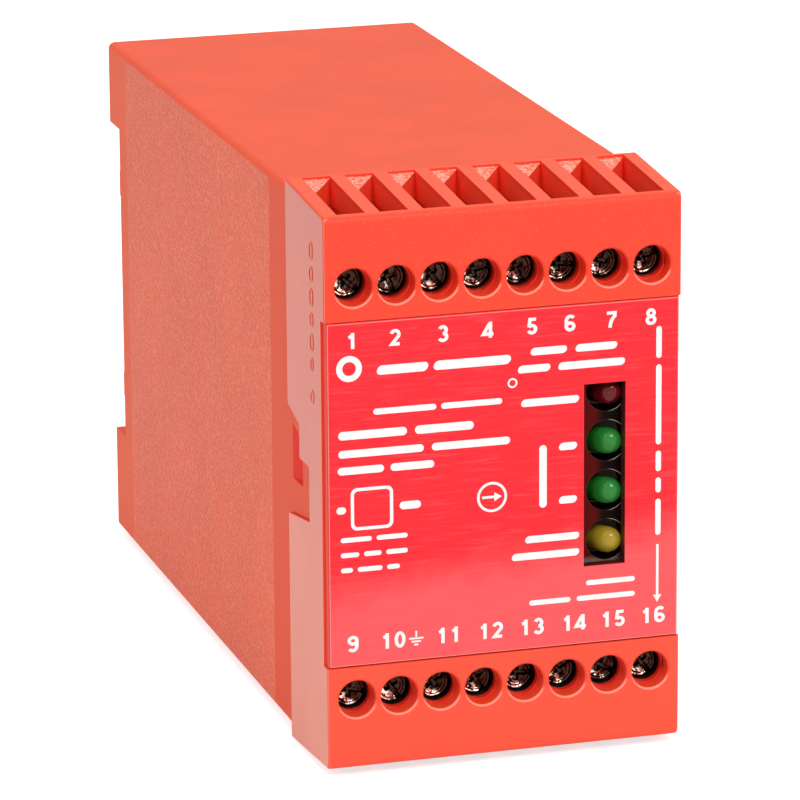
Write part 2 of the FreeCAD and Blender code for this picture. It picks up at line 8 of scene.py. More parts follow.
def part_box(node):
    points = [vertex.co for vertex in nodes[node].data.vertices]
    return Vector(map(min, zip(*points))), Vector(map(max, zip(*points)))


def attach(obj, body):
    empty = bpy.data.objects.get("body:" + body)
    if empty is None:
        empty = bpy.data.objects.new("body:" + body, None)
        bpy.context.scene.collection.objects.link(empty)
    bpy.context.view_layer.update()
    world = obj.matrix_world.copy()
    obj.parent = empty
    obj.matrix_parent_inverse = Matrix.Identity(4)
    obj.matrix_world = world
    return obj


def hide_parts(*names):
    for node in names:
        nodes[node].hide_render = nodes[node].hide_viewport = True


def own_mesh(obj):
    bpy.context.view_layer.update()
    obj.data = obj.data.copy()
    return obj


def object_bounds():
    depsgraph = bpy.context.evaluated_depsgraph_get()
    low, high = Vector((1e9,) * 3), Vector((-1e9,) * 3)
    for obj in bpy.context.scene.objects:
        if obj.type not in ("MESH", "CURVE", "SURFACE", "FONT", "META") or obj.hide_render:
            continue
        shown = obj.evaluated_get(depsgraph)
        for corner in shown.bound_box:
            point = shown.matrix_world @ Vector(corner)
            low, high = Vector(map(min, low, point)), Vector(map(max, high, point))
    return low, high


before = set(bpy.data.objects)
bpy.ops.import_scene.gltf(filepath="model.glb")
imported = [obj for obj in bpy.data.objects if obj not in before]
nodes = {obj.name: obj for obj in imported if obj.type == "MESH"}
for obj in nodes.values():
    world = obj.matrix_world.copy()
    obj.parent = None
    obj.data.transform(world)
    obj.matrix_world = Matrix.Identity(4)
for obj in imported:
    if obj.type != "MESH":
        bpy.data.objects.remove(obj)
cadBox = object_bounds()
mm = 0.001
white = (1, 1, 1)
coverLow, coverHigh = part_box("terminal_cover")
labelLow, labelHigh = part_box("front_label")
frontY = coverLow.y  # the plane of the cover's front face
print("frame loaded:", len(nodes), "nodes")


def addObject(name, data):
    added = bpy.data.objects.new(name, data)
    bpy.context.scene.collection.objects.link(added)
    return added


def middleOf(low, high):
    return [(a + b) / 2 for a, b in zip(low, high)]


# The nodes of one tree. Each input of a node is a value, or another node's output to link.
class nodeTree:
    def __init__(self, tree):
        self.tree = tree

    def put(self, socket, value):
        if isinstance(value, bpy.types.NodeSocket):
            self.tree.links.new(value, socket)
        else:
            socket.default_value = (*value, 1) if socket.type == "RGBA" else value

    def add(self, kind, settings=None, **inputs):
        node = self.tree.nodes.new("ShaderNode" + kind)
        for key, value in (settings or {}).items():
            setattr(node, key, value)
        for key, value in inputs.items():
            self.put(node.inputs[int(key[1:]) if key[1:].isdigit() else key.replace("_", " ")], value)
        return node.outputs

    def maths(self, operation, a, b=0.0, clamp=False):
        return self.add("Math", {"operation": operation, "use_clamp": clamp}, i0=a, i1=b)[0]

    def vector(self, operation, a, b):
        return self.add("VectorMath", {"operation": operation}, i0=a, i1=b)[0]

    def scaled(self, a, scale):
        return self.add("VectorMath", {"operation": "SCALE"}, i0=a, Scale=scale)[0]

    def times(self, product, *others):
        for other in others:
            product = self.maths("MULTIPLY", product, other)
        return product

    def plus(self, a, b):
        return self.maths("ADD", a, b)

    def minus(self, a, b):
        return self.maths("SUBTRACT", a, b)

    def size(self, a):
        return self.maths("ABSOLUTE", a)

    def noise(self, place, scale, detail=2.0, roughness=0.5):
        return self.add("TexNoise", Vector=place, Scale=scale, Detail=detail, Roughness=roughness)[0]

    # A smooth step from outLow to outHigh as value goes from low to high, which may be the smaller.
    def ramp(self, value, low, high, outLow=0.0, outHigh=1.0):
        if low > high:
            low, high, outLow, outHigh = high, low, outHigh, outLow
        return self.add("MapRange", {"interpolation_type": "SMOOTHSTEP"}, Value=value, From_Min=low, From_Max=high,
                        To_Min=outLow, To_Max=outHigh)["Result"]

    # The same step over two limits measured from start.
    def between(self, value, start, limits):
        return self.ramp(value, start + limits[0], start + limits[1])

    def mix(self, factor, a, b):
        return self.add("Mix", {"data_type": "RGBA"}, i0=factor, i6=a, i7=b)[2]


groups = {}


# A node group with the input Place and the given ones, whose outputs are what build makes of them.
def makeGroup(build, **inputs):
    group = groups[build.__name__] = bpy.data.node_groups.new(build.__name__, "ShaderNodeTree")
    kinds = {0: "Vector", 1: "Float", 3: "Vector", 4: "Color"}
    for label, value in {"Place": (), **inputs}.items():
        kind = "NodeSocket" + kinds[np.size(value)]
        socket = group.interface.new_socket(label.replace("_", " "), in_out="INPUT", socket_type=kind)
        if np.size(value):
            socket.default_value = value
    made = build(nodeTree(group), group.nodes.new("NodeGroupInput").outputs)
    for label in made:
        kind = "Color" if label == "Color" else "Float"
        group.interface.new_socket(label, in_out="OUTPUT", socket_type="NodeSocket" + kind)
    end = group.nodes.new("NodeGroupOutput")
    for label, value in made.items():
        group.links.new(value, end.inputs[label])


# Spark-eroded mould grain: two sizes of noise added together.
def fineGrain(t, given):
    scale = given["Grains Per Metre"]
    coarse = t.noise(given["Place"], scale, 2.0, 0.6)
    fine = t.noise(given["Place"], t.times(scale, 2.6), 1.0)
    return {"Height": t.plus(t.times(coarse, 0.65), t.times(fine, 0.35)), "Specks": t.ramp(coarse, 0.58, 0.74)}


# Leather-like grain: cells with sunk borders, bent by noise so that they run in short wrinkles. Ridges is a mask of the
# thin border lines, which the housing paints pale as highlights.
def leatherGrain(t, given):
    place, scale = given["Place"], given["Cells Per Metre"]
    bend = t.add("TexNoise", Vector=place, Scale=t.times(scale, 0.45), Detail=1.0)["Color"]
    moved = t.vector("ADD", place, t.scaled(bend, 0.55 * mm))
    border = t.add("TexVoronoi", {"feature": "DISTANCE_TO_EDGE"}, Vector=moved, Scale=scale)["Distance"]
    fine = t.noise(place, t.times(scale, 3.0))
    height = t.plus(t.times(t.ramp(border, 0.02, 0.32), 0.75), t.times(fine, 0.5))
    return {"Height": height, "Ridges": t.times(t.ramp(border, 0.16, 0.04), t.ramp(fine, 0.40, 0.62))}


# 1 inside the box from Low to High, 0 outside, with soft edges of width Soft.
def zone(t, given):
    inverse = t.maths("DIVIDE", 1.0, given["Soft"])
    above = t.scaled(t.vector("SUBTRACT", given["Place"], given["Low"]), inverse)
    below = t.scaled(t.vector("SUBTRACT", given["High"], given["Place"]), inverse)
    x, y, z = t.add("SeparateXYZ", Vector=t.vector("MINIMUM", above, below))
    return {"Mask": t.maths("ADD", t.maths("MINIMUM", t.maths("MINIMUM", x, y), z), 0.5, clamp=True)}


# Slow unevenness of a moulded colour: Base lightened and darkened by Amount over a few millimetres.
def mottle(t, given):
    level = t.ramp(t.noise(given["Place"], given["Patches Per Metre"], 3.0), 0.3, 0.7, -1.0, 1.0)
    gain = t.plus(t.times(level, given["Amount"]), 1.0)
    return {"Color": t.scaled(given["Base"], gain), "Value": level}


# A few tiny pale specks: the middles of sparse cells.
def dustSpecks(t, given):
    cells = t.add("TexVoronoi", {"feature": "F1"}, Vector=given["Place"], Scale=given["Specks Per Metre"])
    rare = t.maths("GREATER_THAN", t.add("SeparateColor", Color=cells["Color"])[0], 0.72)
    return {"Mask": t.times(rare, t.maths("LESS_THAN", cells["Distance"], given["Size"]))}


# Fine scratches of rubbed metal and film: noise drawn out along one direction, with Stretch as a vector.
def scuffs(t, given):
    return {"Value": t.noise(t.vector("MULTIPLY", given["Place"], given["Stretch"]), 1.0, 3.0, 0.65)}


makeGroup(fineGrain, Grains_Per_Metre=3500.0)
makeGroup(leatherGrain, Cells_Per_Metre=1500.0)
makeGroup(zone, Low=(), High=(), Soft=0.0002)
makeGroup(mottle, Base=(1, 1, 1, 1), Amount=0.04, Patches_Per_Metre=90.0)
makeGroup(dustSpecks, Specks_Per_Metre=260.0, Size=0.05)
makeGroup(scuffs, Stretch=(300, 3000, 3000))
print("node groups made")


# A material with its Principled shader and Object coordinates, ready for more nodes.
class newFinish(nodeTree):
    def __init__(self, name, roughness=0.5, **values):
        self.material = bpy.data.materials.new(name)
        self.material.use_nodes = True
        super().__init__(self.material.node_tree)
        self.shader = self.tree.nodes["Principled BSDF"].inputs
        for key, value in {"Roughness": roughness, **values}.items():
            self.put(self.shader[key.replace("_", " ")], value)
        self.place = self.add("TexCoord")["Object"]
        self.x, self.y, self.z = self.add("SeparateXYZ", Vector=self.place)

    def group(self, name, **inputs):
        return self.add("Group", {"node_tree": groups[name]}, **{"Place": self.place, **inputs})

    def mottled(self, base, amount=0.04, patches=90.0):
        return self.group("mottle", Base=base, Amount=amount, Patches_Per_Metre=patches)["Color"]

    def grain(self, perMetre):
        return self.group("fineGrain", Grains_Per_Metre=perMetre)

    def colour(self, value):
        self.put(self.shader["Base Color"], value)

    def rough(self, value):
        self.put(self.shader["Roughness"], value)

    def bump(self, height, distance):
        self.put(self.shader["Normal"], self.add("Bump", Height=height, Distance=distance, Strength=1.0)[0])

    def grainBump(self, perMetre, depth):
        self.bump(self.grain(perMetre)["Height"], depth)

    # How far the flat surface faces along x, y or z, from -1 to 1.
    def facing(self, axis):
        return self.add("SeparateXYZ", Vector=self.add("NewGeometry")["True Normal"])["xyz".index(axis)]

    # 1 where the surface faces along an axis either way, 0 where it turns from it.
    def across(self, axis, low, high):
        return self.ramp(self.size(self.facing(axis)), low, high)


cameraView = {
    "place": (-0.191147, -0.656151, 0.219815),
    "forward": (0.27367, 0.92448, -0.26540),
    "down": (-0.08202, -0.25250, -0.96411),
    "lens": 244.33,
}


def makeCamera():
    data = bpy.data.cameras.new("camera")
    data.lens, data.sensor_width = cameraView["lens"], 36
    data.clip_start, data.clip_end = 0.05, 20
    camera = addObject("camera", data)
    back, up = -np.array(cameraView["forward"]), -np.array(cameraView["down"])
    right = np.cross(up, back)
    matrix = np.eye(4)
    matrix[:3, :3] = np.stack([right / np.linalg.norm(right), up, back], axis=1)
    matrix[:3, 3] = cameraView["place"]
    camera.matrix_world = Matrix(matrix.tolist())
    bpy.context.scene.camera = camera


lampAim = (0.0, 0.0, 0.03)
lampSetup = {
    # name: place, side of its square, watts
    "keyLamp": ((0.03, -1.04, 0.94), 0.50, 8.2),
    "smallLamp": ((0.70, -0.90, 0.24), 0.26, 1.5),
    "topLamp": ((0.0, 0.15, 1.20), 1.00, 3.6),
    "sideLamp": ((-0.95, -0.45, 0.90), 0.60, 2.2),
}


def addLamp(name, place, side, watts):
    data = bpy.data.lights.new(name, "AREA")
    data.shape = "RECTANGLE"
    data.size, data.size_y, data.energy = side, side, watts
    lamp = addObject(name, data)
    lamp.location = place
    lamp.rotation_mode = "QUATERNION"
    lamp.rotation_quaternion = Vector(np.array(lampAim) - np.array(place)).to_track_quat("-Z", "Y")


worldLook = {"strength": 0.38, "seen": 1.0, "mirrored": 0.95}


# White where the camera sees it, dimmer as a light; a mirror sees the share called mirrored.
def makeWorld():
    world = bpy.data.worlds.new("paleRoom")
    bpy.context.scene.world = world
    world.use_nodes = True
    world.node_tree.nodes.clear()
    t = nodeTree(world.node_tree)
    path = t.add("LightPath")
    share = t.maths("MAXIMUM", path["Is Camera Ray"], t.times(path["Is Glossy Ray"], worldLook["mirrored"]))
    share = t.maths("MAXIMUM", share, path["Is Transmission Ray"])
    glow = t.add("Background", Color=white, Strength=worldLook["strength"])[0]
    seen = t.add("Background", Color=white, Strength=worldLook["seen"])[0]
    t.add("OutputWorld", Surface=t.add("MixShader", i0=share, i1=glow, i2=seen)[0])


floorLook = {"half": 3.0, "below": 0.1 * mm, "colour": (0.90, 0.90, 0.90), "seenGlow": 0.66, "mirrored": 0.45}


def makeFloor():
    look = floorLook
    half = look["half"]
    mesh = bpy.data.meshes.new("floor")
    mesh.from_pydata([(-half, -half, 0), (half, -half, 0), (half, half, 0), (-half, half, 0)], [], [(0, 1, 2, 3)])
    floor = addObject("floor", mesh)
    floor.location.z = cadBox[0].z - look["below"]
    f = newFinish("paleFloor", 1.0, Specular_IOR_Level=0.0, Base_Color=look["colour"], Emission_Color=white)
    path = f.add("LightPath")
    seen = f.maths("MAXIMUM", path["Is Camera Ray"], f.times(path["Is Glossy Ray"], look["mirrored"]))
    f.put(f.shader["Emission Strength"], f.times(seen, look["seenGlow"]))
    mesh.materials.append(f.material)


makeCamera()
for lampName, values in lampSetup.items():
    addLamp(lampName, *values)
makeWorld()
makeFloor()
bpy.context.scene.view_settings.view_transform = "Standard"
print("camera, lamps and floor made")


housingLook = {
    "colour": (0.91, 0.086, 0.020), "sideSheenColour": (0.98, 0.120, 0.029), "bareSide": (0.93, 0.090, 0.022),
    "pocket": (0.95, 0.026, 0.008), "ridgeHighlightColour": (1.0, 0.50, 0.36), "speckColour": (0.95, 0.40, 0.32),
    "sidePatches": 60.0, "ridgeHighlights": 0.30, "specks": 0.35, "specksPerMetre": 210.0, "speckSize": 0.035,
    "grainFrom": 26.0 * mm, "grainTo": 99.9 * mm,  # behind the cover's front
    "bareUntil": (2.0 * mm, 1.0 * mm),  # behind the start of the grain
    "edge": 0.35 * mm, "soft": 0.8 * mm, "grainDrawn": (1.0, 0.55, 1.0), "cells": 1700.0, "fine": 2600.0,
    "fineShare": 0.12, "sunk": 0.25, "grainDepth": 0.12 * mm,
    "smoothRough": 0.50, "grainRough": 0.42, "bareRough": 0.52,
}


# Leathery grain on the sides inside a smooth edge, plain in front of it, with painted light: a more orange red on the
# sides and pale grain lines as painted sheen and highlights, and a deeper red on the smooth strip and in the cover's
# side pockets as painted shade.
def housingPlastic():
    look = housingLook
    low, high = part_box("main_housing")
    grainStart = frontY + look["grainFrom"]
    f = newFinish("housingPlastic", Specular_IOR_Level=0.19)
    side = f.across("x", 0.90, 0.98)
    inZone = f.group("zone", Low=(-1, grainStart, low.z + look["edge"]),
                     High=(1, frontY + look["grainTo"], high.z - look["edge"]), Soft=look["soft"])["Mask"]
    grained = f.times(side, inZone)
    drawn = f.vector("MULTIPLY", f.place, look["grainDrawn"])
    leather = f.group("leatherGrain", Place=drawn, Cells_Per_Metre=look["cells"])
    # the sides get a more orange copy of the red: painted sheen
    colour = f.mix(side, f.mottled(look["colour"]), f.mottled(look["sideSheenColour"], patches=look["sidePatches"]))
    # pale grain lines: painted highlights
    colour = f.mix(f.times(grained, leather["Ridges"], look["ridgeHighlights"]), colour, look["ridgeHighlightColour"])
    bare = f.times(f.maths("SUBTRACT", side, grained, clamp=True), f.between(f.y, grainStart, look["bareUntil"]))
    # the smooth strip keeps a deeper red without the painted sheen: painted as less sheen than the grained side
    colour = f.mix(bare, colour, look["bareSide"])
    # deeper red in the cover's side pockets: painted shade
    pocketShadeMask = f.times(f.ramp(f.times(f.facing("y"), -1.0), 0.12, 0.18), f.across("x", 0.80, 0.90))
    colour = f.mix(pocketShadeMask, colour, look["pocket"])
    specks = f.group("dustSpecks", Specks_Per_Metre=look["specksPerMetre"], Size=look["speckSize"])["Mask"]
    f.colour(f.mix(f.times(specks, look["specks"]), colour, look["speckColour"]))
    f.rough(f.plus(f.ramp(grained, 0.0, 1.0, look["smoothRough"], look["grainRough"]),
                   f.times(bare, look["bareRough"] - look["smoothRough"])))
    height = f.plus(f.times(grained, leather["Height"]), f.times(f.grain(look["fine"])["Height"], look["fineShare"]))
    f.bump(f.minus(height, f.times(grained, look["sunk"])), look["grainDepth"])
    return f.material


coverLook = {
    "colour": (0.98, 0.048, 0.013), "footReflectionColour": (0.98, 0.080, 0.033),
    "fade": (14 * mm, 8 * mm),  # limits of the painted floor reflection: from the top, from the bottom
    "mottle": 0.035, "patches": 120.0, "grain": 3300.0, "grainDepth": 0.06 * mm, "grainRough": 0.52,
    "speckColour": (1.0, 0.20, 0.13), "specks": (0.08, 0.45), "speckGlintFade": (22 * mm, 8 * mm),  # both from the top
    "rimHighlightColour": (1.0, 0.44, 0.32), "rimHighlights": 0.55, "rimsWithin": (-3 * mm, -4 * mm),  # from the top and bottom
    "edgeHighlightColour": (1.0, 0.30, 0.20), "edges": 0.5, "edgeWidth": (-0.7 * mm, -0.5 * mm),  # from the sides
    "slotLitColour": (0.99, 0.085, 0.035), "ribLitColour": (0.98, 0.088, 0.022),
    "slope": 1.24 / 16.85, "slopeLength": 16.85 * mm,
    "cheekSheenColour": (0.84, 0.096, 0.014), "cheekFootReflection": (0.92, 0.195, 0.085), "cheekReflectionLimits": (20 * mm, 10 * mm),
    "cheekMottle": 0.06, "cheekPatches": 45.0, "cheekRough": 0.22, "cheekGrain": 0.12,
    "ledgeHighlightColour": (0.95, 0.42, 0.30), "ledge": (0.12 * mm, 1.3 * mm), "ledgeSoft": 0.1 * mm, "ledgeGrain": 1900.0,
    "edgesWithin": (0.4 * mm, 0.3 * mm), "slotBehind": (1.2 * mm, 1.5 * mm),  # behind the front
    "slotStart": (0.3 * mm, 0.8 * mm), "slotEnd": (7 * mm, 6 * mm), "cheekWithin": (-0.3 * mm, -0.1 * mm),
}


# Front with fine grain and smoother cheeks, with painted light: glints on the grain, highlights on rounded edges, hole
# rims and slot ledges, paler slots and ribs, sheen on the cheeks, and the floor's reflection towards the foot.
def coverPlastic():
    look = coverLook
    f = newFinish("coverPlastic", Specular_IOR_Level=0.46)
    y, z, outward = f.y, f.z, f.size(f.x)
    middle, half = (coverLow.z + coverHigh.z) / 2, (coverHigh.z - coverLow.z) / 2
    fromMiddle = f.size(f.minus(z, middle))

    # 0 at the top to 1 at the foot: the share of the painted reflection of the floor
    def fadeDown(limits):
        return f.ramp(z, coverHigh.z - limits[0], coverLow.z + limits[1])

    fine = f.grain(look["grain"])
    # paler towards the foot: painted reflection of the floor
    base = f.mottled(f.mix(fadeDown(look["fade"]), look["colour"], look["footReflectionColour"]), look["mottle"], look["patches"])
    # pale specks on the grain's peaks, fading downwards: painted glints
    start, end = look["speckGlintFade"]
    specks = f.times(fine["Specks"], f.ramp(z, coverHigh.z - start, coverHigh.z - end, *look["specks"]))
    base = f.mix(specks, base, look["speckColour"])
    # rounded edges between the front and what turns back from it, painted pale as highlights, on the holes' rims only
    # where they face up
    rounded = f.times(f.facing("y"), -1.0)
    slanting = f.times(f.ramp(rounded, 0.45, 0.60), f.ramp(rounded, 0.88, 0.80),
                       f.between(y, frontY, look["edgesWithin"]))
    holeRimHighlight = f.times(slanting, f.between(fromMiddle, half, look["rimsWithin"]), f.ramp(f.facing("z"), 0.15, 0.40))
    base = f.mix(f.times(holeRimHighlight, look["rimHighlights"]), base, look["rimHighlightColour"])
    sideEdgeHighlight = f.times(slanting, f.between(outward, coverHigh.x, look["edgeWidth"]))
    base = f.mix(f.times(sideEdgeHighlight, look["edges"]), base, look["edgeHighlightColour"])
    # distance inside the sloping top and bottom
    slope = f.times(f.minus(coverLow.y + look["slopeLength"], y), look["slope"])
    inside = f.minus(f.minus(half, fromMiddle), slope)
    inSlot = f.times(f.ramp(inside, *look["slotStart"]), f.ramp(inside, *look["slotEnd"]),
                     f.between(y, frontY, look["slotBehind"]))
    flat = f.across("z", 0.80, 0.92)
    # paler reds in the wire slots and on the faces that turn up or down: painted light
    base = f.mix(flat, f.mix(inSlot, base, look["slotLitColour"]), look["ribLitColour"])
    cheek = f.times(f.across("x", 0.90, 0.99), f.between(outward, coverHigh.x, look["cheekWithin"]))
    # the cheeks' more orange red is painted sheen, paler towards the foot as a painted reflection of the floor
    cheekBase = f.mix(fadeDown(look["cheekReflectionLimits"]), look["cheekSheenColour"], look["cheekFootReflection"])
    colour = f.mix(cheek, base, f.mottled(cheekBase, look["cheekMottle"], look["cheekPatches"]))
    (low, high), soft = look["ledge"], look["ledgeSoft"]
    band = f.times(f.ramp(inside, low, low + soft), f.ramp(inside, high + soft, high))
    # pale flecks on the slots' ledges: painted highlight
    ledge = f.times(flat, band, f.ramp(f.grain(look["ledgeGrain"])["Height"], 0.40, 0.58))
    f.colour(f.mix(ledge, colour, look["ledgeHighlightColour"]))
    f.rough(f.ramp(cheek, 0.0, 1.0, look["grainRough"], look["cheekRough"]))
    f.bump(f.times(fine["Height"], f.ramp(cheek, 0.0, 1.0, 1.0, look["cheekGrain"])), look["grainDepth"])
    return f.material


labelLook = {
    "top": (0.93, 0.008, 0.020), "foot": (0.93, 0.090, 0.098), "reflectionFrom": 22.0 * mm, "reflectionTo": 29.5 * mm,
    "waves": 110.0, "waveHeight": 9.0 * mm, "tilt": -0.12,  # the border of the painted reflection wanders and tilts
    "edge": (0.95, 0.33, 0.30), "edgeWidth": 0.10 * mm, "edges": 0.8,
    "streakColour": (1.0, 0.22, 0.24), "streaks": 0.16, "stretch": (160.0, 1.0, 2600.0), "streakDepth": 0.006 * mm,
    "roughness": (0.28, 0.42),
}


# Brushed crimson film, painted paler towards its foot as a reflection of the floor, with a thin pale cut edge.
def labelFilm():
    look = labelLook
    f = newFinish("labelFilm", Specular_IOR_Level=0.38)
    wave = f.noise(f.place, look["waves"], 4.0, 0.6)
    lifted = f.plus(f.z, f.times(f.minus(wave, 0.5), look["waveHeight"]))
    lifted = f.plus(lifted, f.times(f.x, look["tilt"]))
    colour = f.mix(f.ramp(lifted, look["reflectionTo"], look["reflectionFrom"]), look["top"], look["foot"])
    streaks = f.group("scuffs", Stretch=look["stretch"])["Value"]
    colour = f.mix(f.ramp(streaks, 0.48, 0.72, 0.0, look["streaks"]), colour, look["streakColour"])
    upDown = f.maths("MINIMUM", f.minus(f.z, labelLow.z), f.minus(labelHigh.z, f.z))
    inset = f.maths("MINIMUM", f.minus(labelHigh.x, f.size(f.x)), upDown)
    edge = f.times(f.ramp(inset, look["edgeWidth"], look["edgeWidth"] * 0.5), look["edges"])
    f.colour(f.mix(edge, colour, look["edge"]))
    f.rough(f.ramp(streaks, 0.3, 0.7, *look["roughness"]))
    f.bump(streaks, look["streakDepth"])
    return f.material


inkLook = {"colour": (0.93, 0.92, 0.90), "worn": (0.95, 0.45, 0.45), "wear": 0.22}


def printInk():
    f = newFinish("printInk", 0.42)
    specks = f.grain(2200.0)["Specks"]
    f.colour(f.mix(f.times(specks, inkLook["wear"]), f.mottled(inkLook["colour"], 0.03, 300.0), inkLook["worn"]))
    return f.material


plateLook = {
    "colour": (0.84, 0.040, 0.016), "wall": (0.060, 0.007, 0.005),
    "windowLow": (10.0, 24.0), "windowHigh": (15.5, 47.25),
    "soft": 0.02 * mm, "behindFront": 0.2 * mm, "grain": 3300.0, "grainDepth": 0.03 * mm,
}


# Crimson plastic, painted dark as shade on the walls of the lamp window, which lies between two corners in x and z.
def platePlastic():
    look = plateLook
    f = newFinish("platePlastic", 0.45)
    (left, foot), (right, top) = look["windowLow"], look["windowHigh"]
    wall = f.group("zone", Low=(left * mm, frontY + look["behindFront"], foot * mm), High=(right * mm, 1, top * mm),
                   Soft=look["soft"])["Mask"]
    # the window's walls: painted shade
    f.colour(f.mix(wall, f.mottled(look["colour"]), look["wall"]))
    f.grainBump(look["grain"], look["grainDepth"])
    return f.material


# Moulded plastic with slow unevenness and fine grain.
def plainMoulded(name, colour, roughness=0.5, grain=0.03 * mm, amount=0.06, grains=2800.0):
    f = newFinish(name, roughness)
    mottled = f.group("mottle", Base=colour, Amount=amount)
    f.colour(mottled["Color"])
    f.rough(f.ramp(mottled["Value"], -1.0, 1.0, roughness - 0.05, roughness + 0.05))
    f.grainBump(grains, grain)
    return f.material


lampLook = {  # colour at the dome, colour at the foot
    "redLamp": ((0.150, 0.003, 0.005), (0.070, 0.001, 0.002)),
    "greenLamp": ((0.024, 0.250, 0.036), (0.012, 0.150, 0.010)),
    "yellowLamp": ((0.440, 0.310, 0.026), (0.400, 0.250, 0.012)),
}
lampBody = {  # limits behind the tip: fade to the foot's colour, then the near and far side of the die's band
    "fade": (0.2 * mm, 3.6 * mm), "dieFrom": (1.1 * mm, 1.6 * mm), "dieTo": (2.2 * mm, 1.7 * mm),
    "dieShare": 0.35, "dieHighlightGain": 1.7, "dieLift": 0.02, "clouds": 700.0, "cloudShare": 0.3,
}
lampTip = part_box("status_led_1")[0].y


# Tinted lamp body, darker and cloudier towards its foot, with a brighter band where the die sits, which is partly a
# painted highlight.
def lampPlastic(name):
    look = lampBody
    colour, deep = lampLook[name]
    f = newFinish(name, 0.03, Specular_IOR_Level=0.30)
    band = f.times(f.between(f.y, lampTip, look["dieFrom"]), f.between(f.y, lampTip, look["dieTo"]), look["dieShare"])
    # the die's band, brightened partly as a painted highlight
    bright = tuple(min(1.0, c * look["dieHighlightGain"] + look["dieLift"]) for c in colour)
    base = f.mix(band, f.mix(f.between(f.y, lampTip, look["fade"]), colour, deep), bright)
    cloudy = f.ramp(f.noise(f.place, look["clouds"]), 0.35, 0.75, 0.0, look["cloudShare"])
    f.colour(f.mix(cloudy, base, deep))
    return f.material


holderLook = {
    "left": (0.110, 0.004, 0.004), "right": (0.010, 0.004, 0.003),
    "turn": (-1.6 * mm, -0.3 * mm),  # from the lamps' row
    "wall": (0.010, 0.004, 0.003), "foot": (0.255, 0.155, 0.130), "footHeight": (1.3 * mm, 0.5 * mm),
    "floor": (0.42, 0.33, 0.25), "floorDepth": (2.0 * mm, 2.6 * mm), "frontDepth": (0.3 * mm, 0.1 * mm),
    "grain": 3000.0, "grainDepth": 0.03 * mm, "rim": (0.85, 0.70, 0.58), "seatRadius": 2.6 * mm,
    "rimWidth": 0.07 * mm, "rimLight": (0.03, 1.0),  # left, right
}


# Dark face round the lamps' seats, with painted light and shade: darker towards the right, near black on the walls,
# paler at its foot and on the seats' floors, and a thin pale rim painted as a highlight on the right of each seat.
def holderPlastic():
    look = holderLook
    low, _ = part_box("led_holder")
    middleX, _, firstZ = middleOf(*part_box("status_led_1"))
    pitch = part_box("status_led_1")[0].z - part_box("status_led_2")[0].z
    f = newFinish("holderPlastic", 0.45, Specular_IOR_Level=0.05)
    forward = f.ramp(f.times(f.facing("y"), -1.0), 0.8, 0.95)
    atFront = f.times(forward, f.between(f.y, low.y, look["frontDepth"]))
    # distance from the axis of the nearest seat
    upDown = f.maths("PINGPONG", f.minus(f.z, firstZ), pitch / 2)
    sideways = f.minus(f.x, middleX)
    radius = f.maths("SQRT", f.plus(f.times(upDown, upDown), f.times(sideways, sideways)))
    seat, rimWidth = look["seatRadius"], look["rimWidth"]
    rim = f.times(atFront, f.ramp(radius, seat + rimWidth, seat + 0.6 * rimWidth))
    # darker towards the right: painted shade
    colour = f.mix(f.between(f.x, middleX, look["turn"]), look["left"], look["right"])
    # paler at the foot: painted light
    colour = f.mix(f.between(f.z, low.z, look["footHeight"]), colour, look["foot"])
    # near black away from the front, on the seats' walls: painted shade
    colour = f.mix(atFront, look["wall"], colour)
    # pale floors of the seats: painted light
    colour = f.mix(f.times(forward, f.between(f.y, low.y, look["floorDepth"])), colour, look["floor"])
    # thin pale rim on the right of each seat: painted highlight
    f.colour(f.mix(f.times(rim, f.ramp(sideways, 0.0, 1.0 * mm, *look["rimLight"])), colour, look["rim"]))
    f.grainBump(look["grain"], look["grainDepth"])
    return f.material


# Plated or drawn metal with fine scratches and slightly uneven polish.
def platedMetal(name, colour, roughness):
    f = newFinish(name, roughness, Metallic=1.0)
    scratches = f.group("scuffs", Stretch=(2200.0, 2200.0, 240.0))["Value"]
    f.colour(f.mottled(colour, 0.10, 420.0))
    f.rough(f.ramp(scratches, 0.3, 0.7, roughness - 0.08, roughness + 0.12))
    f.bump(scratches, 0.008 * mm)
    return f.material


screwLook = {
    "colour": (0.050, 0.028, 0.020), "glint": (1.0, 0.90, 0.74), "roughness": 0.15, "mottle": 0.25, "patches": 420.0,
    "glintFrom": (0.35 * mm, 1.1 * mm), "glintPatches": 1500.0, "dents": 900.0, "dentDepth": 0.22 * mm,
}


# Nickel painted dark as the shade inside the holes, with bright flecks towards the lower left of each head painted as
# glints.
def screwNickel():
    look = screwLook
    f = newFinish("screwNickel", look["roughness"], Metallic=1.0)
    firstLow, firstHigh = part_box("terminal_screw_01")
    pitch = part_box("terminal_screw_02")[0].x - firstLow.x
    half = (firstHigh.x - firstLow.x) / 2
    upperZ, lowerZ = firstLow.z + half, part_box("terminal_screw_09")[0].z + half
    sideways = f.add("Math", {"operation": "WRAP"}, i0=f.minus(f.x, firstLow.x + half), i1=pitch / 2, i2=-pitch / 2)[0]
    isUpper = f.maths("GREATER_THAN", f.z, (upperZ + lowerZ) / 2)
    upward = f.minus(f.z, f.plus(lowerZ, f.times(isUpper, upperZ - lowerZ)))
    downLeft = f.times(f.plus(sideways, upward), -0.707)
    patches = f.noise(f.place, look["glintPatches"], 2.0, 0.7)
    glintPatches = f.times(f.ramp(patches, 0.46, 0.55), f.ramp(downLeft, *look["glintFrom"]))
    # dark base: painted shade of the holes; pale flecks to the lower left: painted glints
    f.colour(f.mix(glintPatches, f.mottled(look["colour"], look["mottle"], look["patches"]), look["glint"]))
    f.bump(f.noise(f.place, look["dents"]), look["dentDepth"])
    return f.material


boardLook = {"mask": (0.012, 0.115, 0.040), "weave": (0.03, 0.20, 0.08), "edge": (0.48, 0.38, 0.16), "weaves": 1600.0}


